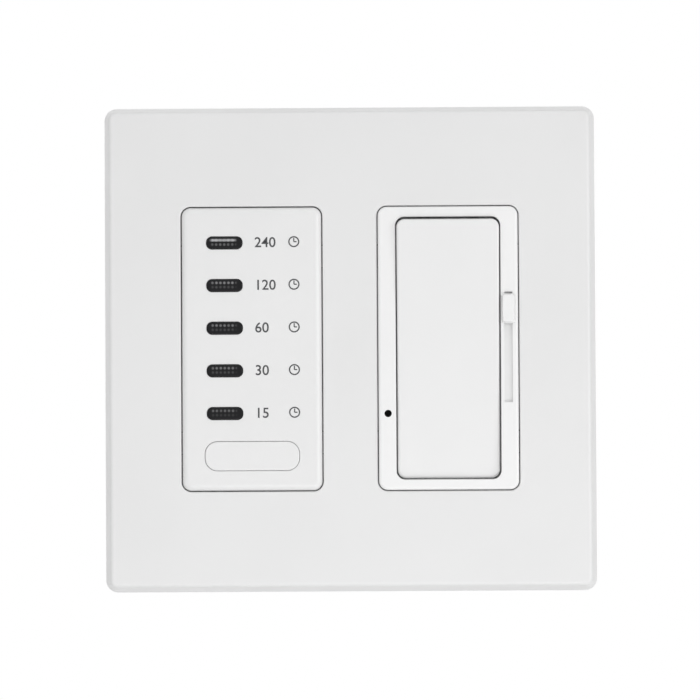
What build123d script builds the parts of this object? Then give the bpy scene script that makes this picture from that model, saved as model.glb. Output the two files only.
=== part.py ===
from build123d import *
import math
import os

# A two-gang wall set under one screwless cover plate: a countdown timer switch on the left
# and a slide dimmer on the right. X runs to the right and Z up, and the face looks along -Y.
# The wall's surface is the plane Y = 0: the cover is in front of it, the housings behind.
# All sizes are in millimetres. Each device is drawn on its own centre line, then placed.

# Driving sizes
gang_pitch = 46.04
face_width = 32.8
face_height = 66.4
face_corner_radius = 2.1
face_proud = 0.8
cover_depth = 6.5
strap_thickness = 1.3
timer_housing_depth = 28.5
dimmer_housing_depth = 25.5

# How far each piece reaches past the one that it goes round or carries
cover_side_reach = 18.48
cover_end_reach = 4.75
box_screw_reach = 8.47
plate_screw_reach = 6.74
strap_end_reach = 3.99
housing_end_reach = 1.3
housing_gang_gap = 2.84
cover_width = gang_pitch + face_width + 2 * cover_side_reach
box_screw_pitch = face_height + 2 * box_screw_reach
plate_screw_pitch = box_screw_pitch + 2 * plate_screw_reach
strap_length = plate_screw_pitch + 2 * strap_end_reach
cover_height = strap_length + 2 * cover_end_reach
housing_width = gang_pitch - housing_gang_gap
housing_height = face_height + 2 * housing_end_reach

# Clearances, and how far a cutting shape runs past the face that it opens
fit_gap = 0.05
slide_gap = 0.1
overrun = 1.0

# Depths that several pieces share
strap_front = -strap_thickness
face_front = -(cover_depth + face_proud)


def seen_from_front(outline, y):
    """Put an outline, drawn with X to the right and Z up, in the plane at depth y."""
    return Plane(origin=(0, y, 0), x_dir=(1, 0, 0), z_dir=(0, -1, 0)) * outline


def slab(outline, y_front, y_back):
    """Fill an outline, drawn in X and Z, from y_front back to y_back."""
    return extrude(seen_from_front(outline, y_back), amount=y_back - y_front)


def rod(radius, x, z, y_front, y_back):
    """A round bar along Y."""
    return slab(Pos(x, z) * Circle(radius), y_front, y_back)


def tapered_rod(front_radius, back_radius, x, z, y_front, y_back):
    """A cone along Y."""
    cone = Cone(back_radius, front_radius, y_back - y_front)
    return Pos(x, (y_front + y_back) / 2, z) * Rot(90, 0, 0) * cone


def cross_rod(radius, x_span, y, z):
    """A round bar along X."""
    return Pos(sum(x_span) / 2, y, z) * Rot(0, 90, 0) * Cylinder(radius, abs(x_span[1] - x_span[0]))


def block(x_span, y_span, z_span):
    """A box between two X, two Y and two Z places."""
    spans = (x_span, y_span, z_span)
    sizes = [abs(end - start) for start, end in spans]
    middle = [(start + end) / 2 for start, end in spans]
    return Pos(*middle) * Box(*sizes)


def about(middle, width):
    """The two ends of a stretch that lies evenly about its middle."""
    return (middle - width / 2, middle + width / 2)


def panel(width, height, radius, x=0, z=0):
    """A rounded rectangle, drawn in X and Z."""
    return Pos(x, z) * RectangleRounded(width, height, radius)


def group(solids):
    """Like pieces that share one node as separate solids."""
    return Compound([piece for solid in solids for piece in solid.solids()])


def front_edges(solid):
    """The outer edges of the face that looks forward."""
    return solid.faces().sort_by(Axis.Y)[0].outer_wire().edges()


# Cover plate: one moulded shell whose sides lean in towards the front, with a window for
# each device and lugs inside that snap behind the sub-plate's edge.
cover_wall = 1.9
cover_lean = 1.5
cover_corner_radius = 2.9
cover_edge_radius = 1.0
cover_inner_radius = 1.2
window_gap = 0.25
window_edge_radius = 0.35
lug_width = 8.0
lug_thickness = 0.9
lug_catch = 0.8
lug_place_share = 0.27
cover_lean_angle = math.degrees(math.atan(cover_lean / cover_depth))
cover_inside = -(cover_depth - cover_wall)
window_width = face_width + 2 * window_gap
window_height = face_height + 2 * window_gap
window_radius = face_corner_radius + window_gap
gangs = (-gang_pitch / 2, gang_pitch / 2)


def leaning_block(width, height, radius, depth):
    """A block on the wall whose sides lean in at the cover's angle."""
    base = seen_from_front(panel(width, height, radius), 0)
    return extrude(base, amount=depth, taper=cover_lean_angle)


def cover_inner_half(size, y):
    """Half the room inside the cover, across a side of this size, at depth y."""
    return size / 2 - cover_wall - cover_lean * -y / cover_depth


# Sub-plate: the flat moulded frame that is screwed to both straps and carries the cover.
sub_web = 1.8
sub_margin = 0.3
sub_corner_radius = 1.6
sub_rim_inset = 0.8
sub_rim_wall = 1.4
sub_window_gap = 0.9
sub_collar_wall = 1.2
sub_front = strap_front - sub_web
sub_rim_front = cover_inside + fit_gap
sub_half_width = cover_inner_half(cover_width, sub_front) - sub_margin
sub_half_height = cover_inner_half(cover_height, sub_front) - sub_margin
sub_window_width = face_width + 2 * sub_window_gap
sub_window_height = face_height + 2 * sub_window_gap
sub_window_radius = face_corner_radius + sub_window_gap

# Screws that hold the plates and the straps
box_screw_radius = 1.75
box_shank_radius = 1.6
box_screw_length = 19.0
box_head_radius = 3.3
box_head_height = 1.9
box_head_round = 0.9
box_thread_start = 0.3
box_head_gap = 0.3
plate_screw_radius = 1.72
plate_head_radius = 2.8
plate_head_height = 1.4
plate_screw_length = 9.0


def cover_lugs():
    """Eight lugs, two on each side, that reach in behind the sub-plate's edge."""
    depth_span = (strap_front + fit_gap, strap_front + fit_gap + lug_thickness)
    side_span = (sub_half_width - lug_catch, cover_width / 2 - cover_wall / 2)
    end_span = (sub_half_height - lug_catch, cover_height / 2 - cover_wall / 2)
    lugs = []
    for sign in (-1, 1):
        along = sign * lug_place_share
        lugs.append(block(side_span, depth_span, about(along * cover_height, lug_width)))
        lugs.append(block(about(along * cover_width, lug_width), depth_span, end_span))
    return lugs + [Rot(0, 180, 0) * lug for lug in lugs]


def make_cover_plate():
    shell = leaning_block(cover_width, cover_height, cover_corner_radius, cover_depth)
    shell = fillet(front_edges(shell), cover_edge_radius)
    inner_width = cover_width - 2 * cover_wall
    inner_height = cover_height - 2 * cover_wall
    shell -= leaning_block(inner_width, inner_height, cover_inner_radius, -cover_inside)
    for lug in cover_lugs():
        shell += lug
    for x in gangs:
        opening = panel(window_width, window_height, window_radius, x)
        shell -= slab(opening, -cover_depth - overrun, overrun)
    front = shell.faces().filter_by(Axis.Y).sort_by(Axis.Y)[0]
    edges = [edge for wire in front.inner_wires() for edge in wire.edges()]
    return fillet(edges, window_edge_radius)


def make_sub_plate():
    outline = panel(2 * sub_half_width, 2 * sub_half_height, sub_corner_radius)
    rim_outer = panel(
        2 * (sub_half_width - sub_rim_inset),
        2 * (sub_half_height - sub_rim_inset),
        sub_corner_radius,
    )
    rim_inner = panel(
        2 * (sub_half_width - sub_rim_inset - sub_rim_wall),
        2 * (sub_half_height - sub_rim_inset - sub_rim_wall),
        sub_corner_radius,
    )
    plate = slab(outline, sub_front, strap_front)
    plate += slab(rim_outer - rim_inner, sub_rim_front, sub_front)
    for x in gangs:
        collar = panel(
            sub_window_width + 2 * sub_collar_wall,
            sub_window_height + 2 * sub_collar_wall,
            sub_window_radius + sub_collar_wall,
            x,
        )
        plate += slab(collar, sub_rim_front, sub_front)
    for x in gangs:
        opening = panel(sub_window_width, sub_window_height, sub_window_radius, x)
        plate -= slab(opening, sub_rim_front - overrun, strap_front + overrun)
        for sign in (-1, 1):
            plate_z = sign * plate_screw_pitch / 2
            box_z = sign * box_screw_pitch / 2
            plate -= rod(plate_screw_radius + fit_gap, x, plate_z, sub_front, strap_front)
            plate -= tapered_rod(
                plate_head_radius + fit_gap,
                plate_screw_radius + fit_gap,
                x,
                plate_z,
                sub_front,
                sub_front + plate_head_height,
            )
            head_hole = box_head_radius + box_head_gap
            plate -= rod(head_hole, x, box_z, sub_rim_front - overrun, strap_front)
    return plate


def make_sub_plate_screws():
    """Flat-head screws through the sub-plate into the straps."""
    screws = []
    for x in gangs:
        for sign in (-1, 1):
            z = sign * plate_screw_pitch / 2
            head_back = sub_front + plate_head_height
            head = tapered_rod(plate_head_radius, plate_screw_radius, x, z, sub_front, head_back)
            end = sub_front + plate_screw_length
            screws.append(head + rod(plate_screw_radius, x, z, head_back, end))
    return group(screws)


def make_box_screws():
    """Round-head screws that clamp each strap's ears to the wall box."""
    screws = []
    for x in gangs:
        for sign in (-1, 1):
            z = sign * box_screw_pitch / 2
            head_front = strap_front - box_head_height
            head = rod(box_head_radius, x, z, head_front, strap_front)
            head = fillet(front_edges(head), box_head_round)
            shank = rod(box_shank_radius, x, z, strap_front, box_thread_start)
            thread = rod(box_screw_radius, x, z, box_thread_start, box_screw_length)
            screws.append(head + shank + thread)
    return group(screws)


# Rear housings: open-fronted moulded boxes that close on the straps' backs, with a screw
# column in each corner and wiring pockets let into the sides for the terminals.
housing_wall = 1.5
housing_floor = 1.5
housing_corner_radius = 2.0
housing_edge_radius = 1.2
housing_inner_radius = 1.0
column_radius = 2.7
column_inset = 3.9
column_side_inset = 9.3
long_screw_radius = 1.45
long_head_radius = 2.3
long_head_height = 1.8
counterbore_depth = 2.0
column_x = housing_width / 2 - column_side_inset
column_z = housing_height / 2 - column_inset
columns = [(x, z) for x in (-column_x, column_x) for z in (-column_z, column_z)]

# Terminals: a brass plate and a binding screw in each wiring pocket
pocket_depth = 4.6
pocket_length = 10.0
pocket_height = 9.2
pocket_wall = 1.5
terminal_thickness = 1.0
terminal_length = 8.0
terminal_height = 7.6
terminal_leg_height = 3.6
terminal_screw_radius = 1.72
terminal_head_radius = 3.3
terminal_head_height = 1.8
terminal_screw_length = 4.2
pocket_floor = housing_width / 2 - pocket_depth
terminal_hole_radius = terminal_screw_radius + fit_gap


def side_span(side, inner, outer):
    """A stretch of X on the left (side -1) or on the right (side 1)."""
    return (side * inner, side * outer)


def make_housing(depth, pockets, pocket_y, leg_way):
    """One housing; pockets lists (side, z), and leg_way is the way the terminals' legs run."""
    outer = slab(panel(housing_width, housing_height, housing_corner_radius), 0, depth)
    rear = outer.faces().sort_by(Axis.Y)[-1].outer_wire().edges()
    housing = fillet(rear, housing_edge_radius)
    inner_width = housing_width - 2 * housing_wall
    inner_height = housing_height - 2 * housing_wall
    room = panel(inner_width, inner_height, housing_inner_radius)
    for x, z in columns:
        room -= Pos(x, z) * Circle(column_radius)
        reach = housing_height / 2 - abs(z)
        room -= Pos(x, z + math.copysign(reach / 2, z)) * Rectangle(2 * column_radius, reach)
    room = slab(room, -overrun, depth - housing_floor)
    pocket_y_span = about(pocket_y, pocket_length)
    walled_y_span = about(pocket_y, pocket_length + 2 * pocket_wall)
    for side, z in pockets:
        walled_x_span = side_span(side, pocket_floor - pocket_wall, housing_width / 2)
        walled_z_span = about(z, pocket_height + 2 * pocket_wall)
        room -= block(walled_x_span, walled_y_span, walled_z_span)
    housing -= room
    for side, z in pockets:
        opening = side_span(side, pocket_floor, housing_width / 2 + overrun)
        housing -= block(opening, pocket_y_span, about(z, pocket_height))
        bore = side_span(side, pocket_floor - pocket_wall - overrun, pocket_floor + overrun)
        housing -= cross_rod(terminal_hole_radius + slide_gap, bore, pocket_y, z)
        slot = side_span(side, pocket_floor - pocket_wall - fit_gap, pocket_floor + fit_gap)
        slot_y = pocket_y + leg_way * (terminal_length - terminal_thickness) / 2
        slot_y_span = about(slot_y, terminal_thickness + 2 * fit_gap)
        slot_z_span = about(z, terminal_leg_height + 2 * fit_gap)
        housing -= block(slot, slot_y_span, slot_z_span)
    for x, z in columns:
        housing -= rod(long_screw_radius + fit_gap, x, z, -overrun, depth + overrun)
        head_seat = depth - counterbore_depth
        housing -= rod(long_head_radius + slide_gap, x, z, head_seat, depth + overrun)
    return housing


def make_long_screws(depth):
    """Screws from the housing's rear, through its columns, into the strap."""
    seat = depth - counterbore_depth
    screws = []
    for x, z in columns:
        head = rod(long_head_radius, x, z, seat, seat + long_head_height)
        screws.append(head + rod(long_screw_radius, x, z, strap_front, seat))
    return group(screws)


def make_terminal_plates(pockets, pocket_y, board_y, leg_way):
    """Brass strips: a plate in each pocket, a bridge through its wall and a leg to the board."""
    wall_inside = pocket_floor - pocket_wall
    edge = pocket_y + leg_way * terminal_length / 2
    bridge_y_span = (edge - leg_way * terminal_thickness, edge)
    plates = []
    for side, z in pockets:
        plate_x_span = side_span(side, pocket_floor, pocket_floor + terminal_thickness)
        plate = block(plate_x_span, about(pocket_y, terminal_length), about(z, terminal_height))
        leg_z_span = about(z, terminal_leg_height)
        bridge_x_span = side_span(side, wall_inside - terminal_thickness, pocket_floor)
        leg_x_span = side_span(side, wall_inside - terminal_thickness, wall_inside)
        plate += block(bridge_x_span, bridge_y_span, leg_z_span)
        plate += block(leg_x_span, (bridge_y_span[0], board_y), leg_z_span)
        bore = side_span(side, pocket_floor - overrun, pocket_floor + terminal_thickness + overrun)
        plates.append(plate - cross_rod(terminal_hole_radius, bore, pocket_y, z))
    return group(plates)


def make_terminal_screws(pockets, pocket_y):
    """Binding screws whose heads clamp a bared wire against the plate."""
    seat = pocket_floor + terminal_thickness
    screws = []
    for side, z in pockets:
        head_x_span = side_span(side, seat, seat + terminal_head_height)
        shank_x_span = side_span(side, seat - terminal_screw_length, seat)
        head = cross_rod(terminal_head_radius, head_x_span, pocket_y, z)
        screws.append(head + cross_rod(terminal_screw_radius, shank_x_span, pocket_y, z))
    return screws


# Straps: stamped metal yokes with rounded plaster ears, levelling slots for the box screws,
# tapped holes for the sub-plate's screws and a bent tab for the ground screw.
strap_side_margin = 0.2
strap_body_margin = 1.0
tongue_width = 21.0
ear_width = 33.4
ear_height = 10.8
ear_radius = 3.6
score_radius = 0.8
levelling_slot_length = 7.0
levelling_slot_gap = 0.35
ground_tab_width = 8.0
ground_tab_depth = 9.5
ground_tab_radius = 2.5
ground_tab_inset = 1.3
ground_screw_radius = 1.9
ground_screw_length = 4.8
ground_head_radius = 3.5
ground_head_height = 2.0
ground_hole_gap = 0.4
strap_body_width = housing_width + 2 * strap_side_margin
strap_body_height = housing_height + 2 * strap_body_margin
ground_x = -(strap_body_width / 2 - ground_tab_inset - ground_tab_width / 2)
ground_y = ground_tab_depth - ground_tab_width / 2

# Snap hooks that hold each moulded face on its strap
hook_width = 5.0
hook_thickness = 1.0
hook_reach = 1.0
hook_nose = 0.6
hook_z = 22.0
hook_slot_gap = 0.2


def upright_rod(radius, x, y, z_span):
    """A round bar along Z."""
    return Pos(x, y, sum(z_span) / 2) * Cylinder(radius, abs(z_span[1] - z_span[0]))


def make_strap_blank():
    """A strap before its own windows: outline, ears, screw holes, hook slots, ground tab."""
    outline = panel(strap_body_width, strap_body_height, housing_corner_radius)
    outline += Rectangle(tongue_width, strap_length)
    ear_z = (strap_length - ear_height) / 2
    for sign in (-1, 1):
        outline += panel(ear_width, ear_height, ear_radius, 0, sign * ear_z)
    for sign in (-1, 1):
        for score_x in about(0, tongue_width):
            for score_z in about(sign * ear_z, ear_height / 2):
                outline -= Pos(score_x, score_z) * Circle(score_radius)
        slot_width = 2 * (box_shank_radius + levelling_slot_gap)
        slot = SlotOverall(levelling_slot_length, slot_width)
        outline -= Pos(0, sign * box_screw_pitch / 2) * slot
        outline -= Pos(0, sign * plate_screw_pitch / 2) * Circle(plate_screw_radius + fit_gap)
        hook_outer = face_width / 2 + hook_nose + hook_slot_gap
        hook_inner = face_width / 2 - hook_thickness - hook_slot_gap
        for z in (-hook_z, hook_z):
            slot_x = sign * (hook_outer + hook_inner) / 2
            size = (hook_outer - hook_inner, hook_width + 2 * hook_slot_gap)
            outline -= Pos(slot_x, z) * Rectangle(*size)
    for x, z in columns:
        outline -= Pos(x, z) * Circle(long_screw_radius + fit_gap)
    strap = slab(outline, strap_front, 0)
    low_z = -strap_body_height / 2
    tab_z_span = (low_z - strap_thickness, low_z)
    tab_x_span = about(ground_x, ground_tab_width)
    tab = block(tab_x_span, (strap_front, ground_tab_depth), tab_z_span)
    corners = tab.edges().filter_by(Axis.Z).sort_by(Axis.Y)[-2:]
    tab = fillet(corners, ground_tab_radius)
    root_z_span = (low_z - strap_thickness, low_z + strap_thickness)
    strap += block(tab_x_span, (strap_front, 0), root_z_span)
    strap += tab
    bore = (tab_z_span[0] - overrun, tab_z_span[1] + overrun)
    return strap - upright_rod(ground_screw_radius + fit_gap, ground_x, ground_y, bore)


def ground_relief():
    """The round way that a ground screw's tip takes through the housing's end wall."""
    end = -housing_height / 2
    span = (end - overrun, end + housing_wall + overrun)
    return upright_rod(ground_screw_radius + ground_hole_gap, ground_x, ground_y, span)


def make_ground_screw():
    seat = -strap_body_height / 2 - strap_thickness
    head_flats = RegularPolygon(ground_head_radius, 6)
    seat_plane = Plane(origin=(ground_x, ground_y, seat))
    head = extrude(seat_plane * head_flats, amount=-ground_head_height)
    shank = upright_rod(ground_screw_radius, ground_x, ground_y, (seat, seat + ground_screw_length))
    return head + shank


def snap_hooks(thickness):
    """Four hooks that pass through the strap and catch behind it."""
    hooks = None
    outer = face_width / 2
    for side in (-1, 1):
        stem_x_span = side_span(side, outer - thickness, outer)
        nose_x_span = side_span(side, outer - thickness, outer + hook_nose)
        for z in (-hook_z, hook_z):
            z_span = about(z, hook_width)
            stem = block(stem_x_span, (strap_front, hook_reach), z_span)
            hook = stem + block(nose_x_span, (fit_gap, hook_reach), z_span)
            hooks = hook if hooks is None else hooks + hook
    return hooks


def moulded_face(edge_radius):
    """The solid block that a device's face is hollowed from, its front edges rounded."""
    solid = slab(panel(face_width, face_height, face_corner_radius), face_front, strap_front)
    return fillet(front_edges(solid), edge_radius)


# Timer face: a moulded cap with five key windows, a bar window and four heat-staked posts
# that carry the control board behind the strap.
face_edge_radius = 1.5
face_wall = 1.4
face_front_wall = 1.6
face_inner_radius = 0.9
key_width = 8.4
key_height = 2.9
key_radius = 1.3
key_x = -6.35
key_top_inset = 8.3
key_count = 5
bar_width = 22.1
bar_height = 6.8
bar_radius = 2.9
bar_inset = 8.1
key_proud = 0.25
bar_proud = 0.1
key_edge_radius = 0.3
key_flange = 0.75
key_flange_thickness = 0.8
key_stem_radius = 1.0
post_radius = 1.2
post_right_x = 10.5
post_left_x = -11.2
stake_radius = 0.7
stake_head_radius = 1.1
stake_head_height = 0.5
face_inside = face_front + face_front_wall
key_top_z = face_height / 2 - key_top_inset
bar_z = -(face_height / 2 - bar_inset)
key_pitch = (key_top_z - bar_z) / key_count
key_zs = [key_top_z - index * key_pitch for index in range(key_count)]
posts = [
    (post_right_x, key_zs[0]),
    (post_right_x, (key_zs[-2] + key_zs[-1]) / 2),
    (post_left_x, (key_zs[0] + key_zs[1]) / 2),
    (post_left_x, (key_zs[-2] + key_zs[-1]) / 2),
]

# Timer strap's window
timer_window_width = 26.0
timer_window_radius = 2.0
window_land = 2.8
timer_window_height = 2 * (column_z - window_land)

# Control board behind the strap, with a push switch and an LED behind each key
board_thickness = 1.6
board_radius = 1.0
control_board_width = 28.0
control_board_gap = 0.6
column_margin = 0.4
control_board_front = control_board_gap
control_board_back = control_board_front + board_thickness
board_height = 2 * (column_z - column_radius - column_margin)
switch_size = 4.5
switch_height = 3.0
plunger_radius = 1.1
plunger_proud = 1.0
plunger_length = 1.5
plunger_bore_depth = 1.15
switch_front = control_board_front - switch_height
plunger_front = switch_front - plunger_proud
key_led_width = 1.6
key_led_height = 0.8
key_led_thickness = 0.7
key_led_gap = 0.3
chip_width = 5.2
chip_height = 8.6
chip_thickness = 1.6
chip_leg_width = 0.4
chip_leg_reach = 1.0
chip_leg_thickness = 0.25
chip_leg_pitch = 1.27
chip_legs = 6
chip_x = 7.0
chip_z = 5.0


def make_timer_strap():
    opening = panel(timer_window_width, timer_window_height, timer_window_radius)
    return make_strap_blank() - slab(opening, strap_front - overrun, overrun)


def make_timer_face():
    face = moulded_face(face_edge_radius)
    inner_width = face_width - 2 * face_wall
    inner_height = face_height - 2 * face_wall
    face -= slab(panel(inner_width, inner_height, face_inner_radius), face_inside, overrun)
    for z in key_zs:
        width = key_width + 2 * slide_gap
        height = key_height + 2 * slide_gap
        opening = panel(width, height, key_radius + slide_gap, key_x, z)
        face -= slab(opening, face_front - overrun, face_inside + overrun)
    width = bar_width + 2 * slide_gap
    height = bar_height + 2 * slide_gap
    opening = panel(width, height, bar_radius + slide_gap, 0, bar_z)
    face -= slab(opening, face_front - overrun, face_inside + overrun)
    for x, z in posts:
        face += rod(post_radius, x, z, face_inside, control_board_front)
        face += rod(stake_radius, x, z, control_board_front, control_board_back)
        head_back = control_board_back + stake_head_height
        face += rod(stake_head_radius, x, z, control_board_back, head_back)
    return face + snap_hooks(hook_thickness)


def make_key(width, height, radius, x, z, proud):
    """A key: its cap in the window, a flange that keeps it in, and a stem to its switch."""
    flange_front = face_inside + fit_gap
    flange_back = flange_front + key_flange_thickness
    cap = slab(panel(width, height, radius, x, z), face_front - proud, flange_front)
    cap = fillet(front_edges(cap), key_edge_radius)
    flange_width = width + 2 * (key_flange + slide_gap)
    flange_height = height + 2 * (key_flange + slide_gap)
    flange = panel(flange_width, flange_height, radius + key_flange, x, z)
    key = cap + slab(flange, flange_front, flange_back)
    return key + rod(key_stem_radius, x, z, flange_back, plunger_front)


def make_plunger(x, z):
    """The push switch's own plunger, which the key's stem rests on."""
    return rod(plunger_radius, x, z, plunger_front, plunger_front + plunger_length)


def make_push_switches():
    """The six switch bodies on the control board, each bored for its plunger."""
    bodies = []
    for x, z in [(key_x, z) for z in key_zs] + [(0, bar_z)]:
        span = (switch_front, control_board_front)
        body = block(about(x, switch_size), span, about(z, switch_size))
        bore_back = switch_front + plunger_bore_depth
        bore = rod(plunger_radius + slide_gap, x, z, switch_front - overrun, bore_back)
        bodies.append(body - bore)
    return group(bodies)


def make_key_leds():
    x = key_x + (switch_size + key_led_width) / 2 + key_led_gap
    span = (control_board_front - key_led_thickness, control_board_front)
    return group([block(about(x, key_led_width), span, about(z, key_led_height)) for z in key_zs])


def make_control_board():
    board = panel(control_board_width, board_height, board_radius)
    for x, z in posts:
        board -= Pos(x, z) * Circle(stake_radius + fit_gap)
    return slab(board, control_board_front, control_board_back)


def make_controller_chip():
    """A flat chip with a row of legs down each side."""
    span = (control_board_front - chip_thickness, control_board_front - chip_leg_thickness)
    chip = block(about(chip_x, chip_width), span, about(chip_z, chip_height))
    leg_span = (control_board_front - 2 * chip_leg_thickness, control_board_front)
    for index in range(chip_legs):
        z = chip_z + (index - (chip_legs - 1) / 2) * chip_leg_pitch
        reach = chip_width + 2 * chip_leg_reach
        chip += block(about(chip_x, reach), leg_span, about(z, chip_leg_width))
    return chip


# Power board at the timer housing's floor, with the parts that it carries
power_standoff_height = 1.2
power_standoff_radius = 2.0
power_standoff_x = 12.0
power_standoff_z = 20.0
board_side_gap = 0.3
timer_floor = timer_housing_depth - housing_floor
power_board_back = timer_floor - power_standoff_height
power_board_front = power_board_back - board_thickness
board_width = housing_width - 2 * housing_wall - 2 * board_side_gap
relay_size = (15.0, 15.3, 19.5)
relay_x = -6.2
relay_edge_gap = 1.0
relay_round = 0.6
dropper_size = (8.0, 14.0, 18.0)
dropper_x = 6.0
dropper_edge_gap = 2.5
dropper_round = 0.6
smoother_radius = 5.0
smoother_length = 12.5
smoother_gap = 0.8
smoother_edge_gap = 1.0
smoother_x = -7.5
smoother_vent_depth = 0.4
smoother_vent_width = 0.8
varistor_radius = 5.0
varistor_thickness = 4.0
varistor_x = 3.5
varistor_z = -10.5
varistor_leg_radius = 0.4
varistor_leg_spread = 5.0
varistor_leg_length = 2.0
header_x = 11.4
header_pins = 6
header_spacing = 2.54
pin_size = 0.64
header_body_width = 2.5
header_body_height = 2.6
header_z = (posts[0][1] + posts[1][1]) / 2
relay_z = board_height / 2 - relay_edge_gap - relay_size[2] / 2
dropper_z = board_height / 2 - dropper_edge_gap - dropper_size[2] / 2
smoother_low_z = -board_height / 2 + smoother_edge_gap + smoother_radius
smoother_zs = (smoother_low_z, smoother_low_z + 2 * smoother_radius + smoother_gap)
pocket_spread = 12.0
timer_pockets = [(1, pocket_spread), (1, -pocket_spread), (-1, 0)]
timer_pocket_y = 11.5


def make_timer_housing():
    housing = make_housing(timer_housing_depth, timer_pockets, timer_pocket_y, 1)
    housing -= ground_relief()
    for x in (-power_standoff_x, power_standoff_x):
        for z in (-power_standoff_z, power_standoff_z):
            housing += rod(power_standoff_radius, x, z, power_board_back, timer_floor)
    return housing


def make_power_board():
    return slab(panel(board_width, board_height, board_radius), power_board_front, power_board_back)


def upright_box(size, x, z, round_radius):
    """A boxed component standing forward from the power board."""
    width, depth, height = size
    span = (power_board_front - depth, power_board_front)
    box = block(about(x, width), span, about(z, height))
    return fillet(front_edges(box), round_radius)


def make_smoothing_capacitors():
    """Two round cans, each with a cross scored in its front end."""
    cans = []
    can_front = power_board_front - smoother_length
    for z in smoother_zs:
        can = rod(smoother_radius, smoother_x, z, can_front, power_board_front)
        score_y_span = (can_front - overrun, can_front + smoother_vent_depth)
        long_span = about(0, smoother_radius)
        for x_span, z_span in (
            (long_span, about(0, smoother_vent_width)),
            (about(0, smoother_vent_width), long_span),
        ):
            can -= Pos(smoother_x, 0, z) * block(x_span, score_y_span, z_span)
        cans.append(can)
    return group(cans)


def make_varistor():
    """A disc on edge, on two legs."""
    middle_y = power_board_front - varistor_leg_length - varistor_radius
    disc = cross_rod(varistor_radius, about(varistor_x, varistor_thickness), middle_y, varistor_z)
    for z in about(varistor_z, varistor_leg_spread):
        disc += rod(varistor_leg_radius, varistor_x, z, middle_y, power_board_front)
    return disc


def make_board_header():
    """A row of pins that joins the two boards, with a moulded bar at each end."""
    length = header_pins * header_spacing
    z_span = about(header_z, length)
    x_span = about(header_x, header_body_width)
    near = (control_board_back, control_board_back + header_body_height)
    far = (power_board_front - header_body_height, power_board_front)
    header = block(x_span, near, z_span) + block(x_span, far, z_span)
    for index in range(header_pins):
        z = header_z + (index - (header_pins - 1) / 2) * header_spacing
        pin_y_span = (control_board_back, power_board_front)
        header += block(about(header_x, pin_size), pin_y_span, about(z, pin_size))
    return header


# Dimmer bezel: the frame round the paddle. Its left bar holds the locator light's pipe,
# and its right bar is channelled for the slide knob and the shutter strip behind it.
bezel_side_bar = 4.1
bezel_end_bar = 2.4
paddle_opening_radius = 2.1
bezel_edge_radius = 0.7
opening_edge_radius = 0.25
slider_x = 14.1
slot_width = 1.9
slot_z = 0.15
slot_end_radius = 0.25
slot_depth = 0.8
channel_width = 2.6
channel_end_wall = 1.7
locator_x = -14.2
locator_z = -15.3
locator_radius = 0.85
locator_recess = 0.4
left_pocket_width = 1.9
left_pocket_inset = 3.2
paddle_opening_width = face_width - 2 * bezel_side_bar
paddle_opening_height = face_height - 2 * bezel_end_bar
left_pocket_height = face_height - 2 * left_pocket_inset
channel_height = face_height - 2 * channel_end_wall
channel_front = face_front + slot_depth

# Slide knob, shutter strip and the potentiometer's lever
knob_width = 3.3
knob_height = 7.0
knob_end_gap = 0.4
knob_proud = 1.4
knob_draft = 0.4
knob_round = 0.3
knob_corner_radius = 0.9
knob_dish_radius = 18.0
knob_dish_depth = 0.2
stem_width = 1.4
stem_height = 5.0
stem_strap_gap = 0.3
lever_thickness = 0.7
lever_height = 3.1
lever_reach = 3.1
carrier_width = 5.0
carrier_height = 5.0
carrier_thickness = 2.0
shutter_thickness = 0.5
shutter_overlap = 0.1
shutter_end_gap = 0.2
pot_width = 7.2
pot_height = 6.1
pot_end_length = 7.6
pot_wall = 0.8
pot_slot_gap = 0.45
lever_window_gap = 0.6
# The strip is as long as the channel lets it be with the knob at the top, and it still has
# to close the slot with the knob at the bottom: that sets how long the slot can be.
knob_room = knob_height + 2 * knob_end_gap
slot_length = (channel_height / 2 - shutter_end_gap - shutter_overlap + knob_room - slot_z) / 1.5
slot_top = slot_z + slot_length / 2
slot_bottom = slot_z - slot_length / 2
knob_z = slot_top - knob_room / 2
slider_travel = slot_length - knob_room
pot_length = slider_travel + 2 * pot_end_length
shutter_half = knob_z - slot_bottom + shutter_overlap
dimmer_board_front = 7.0
dimmer_board_back = dimmer_board_front + board_thickness
pot_front = dimmer_board_front - pot_height
carrier_front = pot_front + pot_wall + slide_gap


def make_dimmer_bezel():
    bezel = moulded_face(bezel_edge_radius)
    opening = panel(paddle_opening_width, paddle_opening_height, paddle_opening_radius)
    bezel -= slab(opening, face_front - overrun, overrun)
    front = bezel.faces().filter_by(Axis.Y).sort_by(Axis.Y)[0]
    bezel = fillet(front.inner_wires()[0].edges(), opening_edge_radius)
    pocket = panel(left_pocket_width, left_pocket_height, slot_end_radius, locator_x)
    bezel -= slab(pocket, face_inside, overrun)
    bezel -= rod(locator_radius, locator_x, locator_z, face_front - overrun, face_inside + overrun)
    channel = panel(channel_width, channel_height, slot_end_radius, slider_x)
    bezel -= slab(channel, channel_front, overrun)
    slot = panel(slot_width, slot_length, slot_end_radius, slider_x, slot_z)
    bezel -= slab(slot, face_front - overrun, channel_front + overrun)
    return bezel + snap_hooks(hook_thickness)


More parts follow.
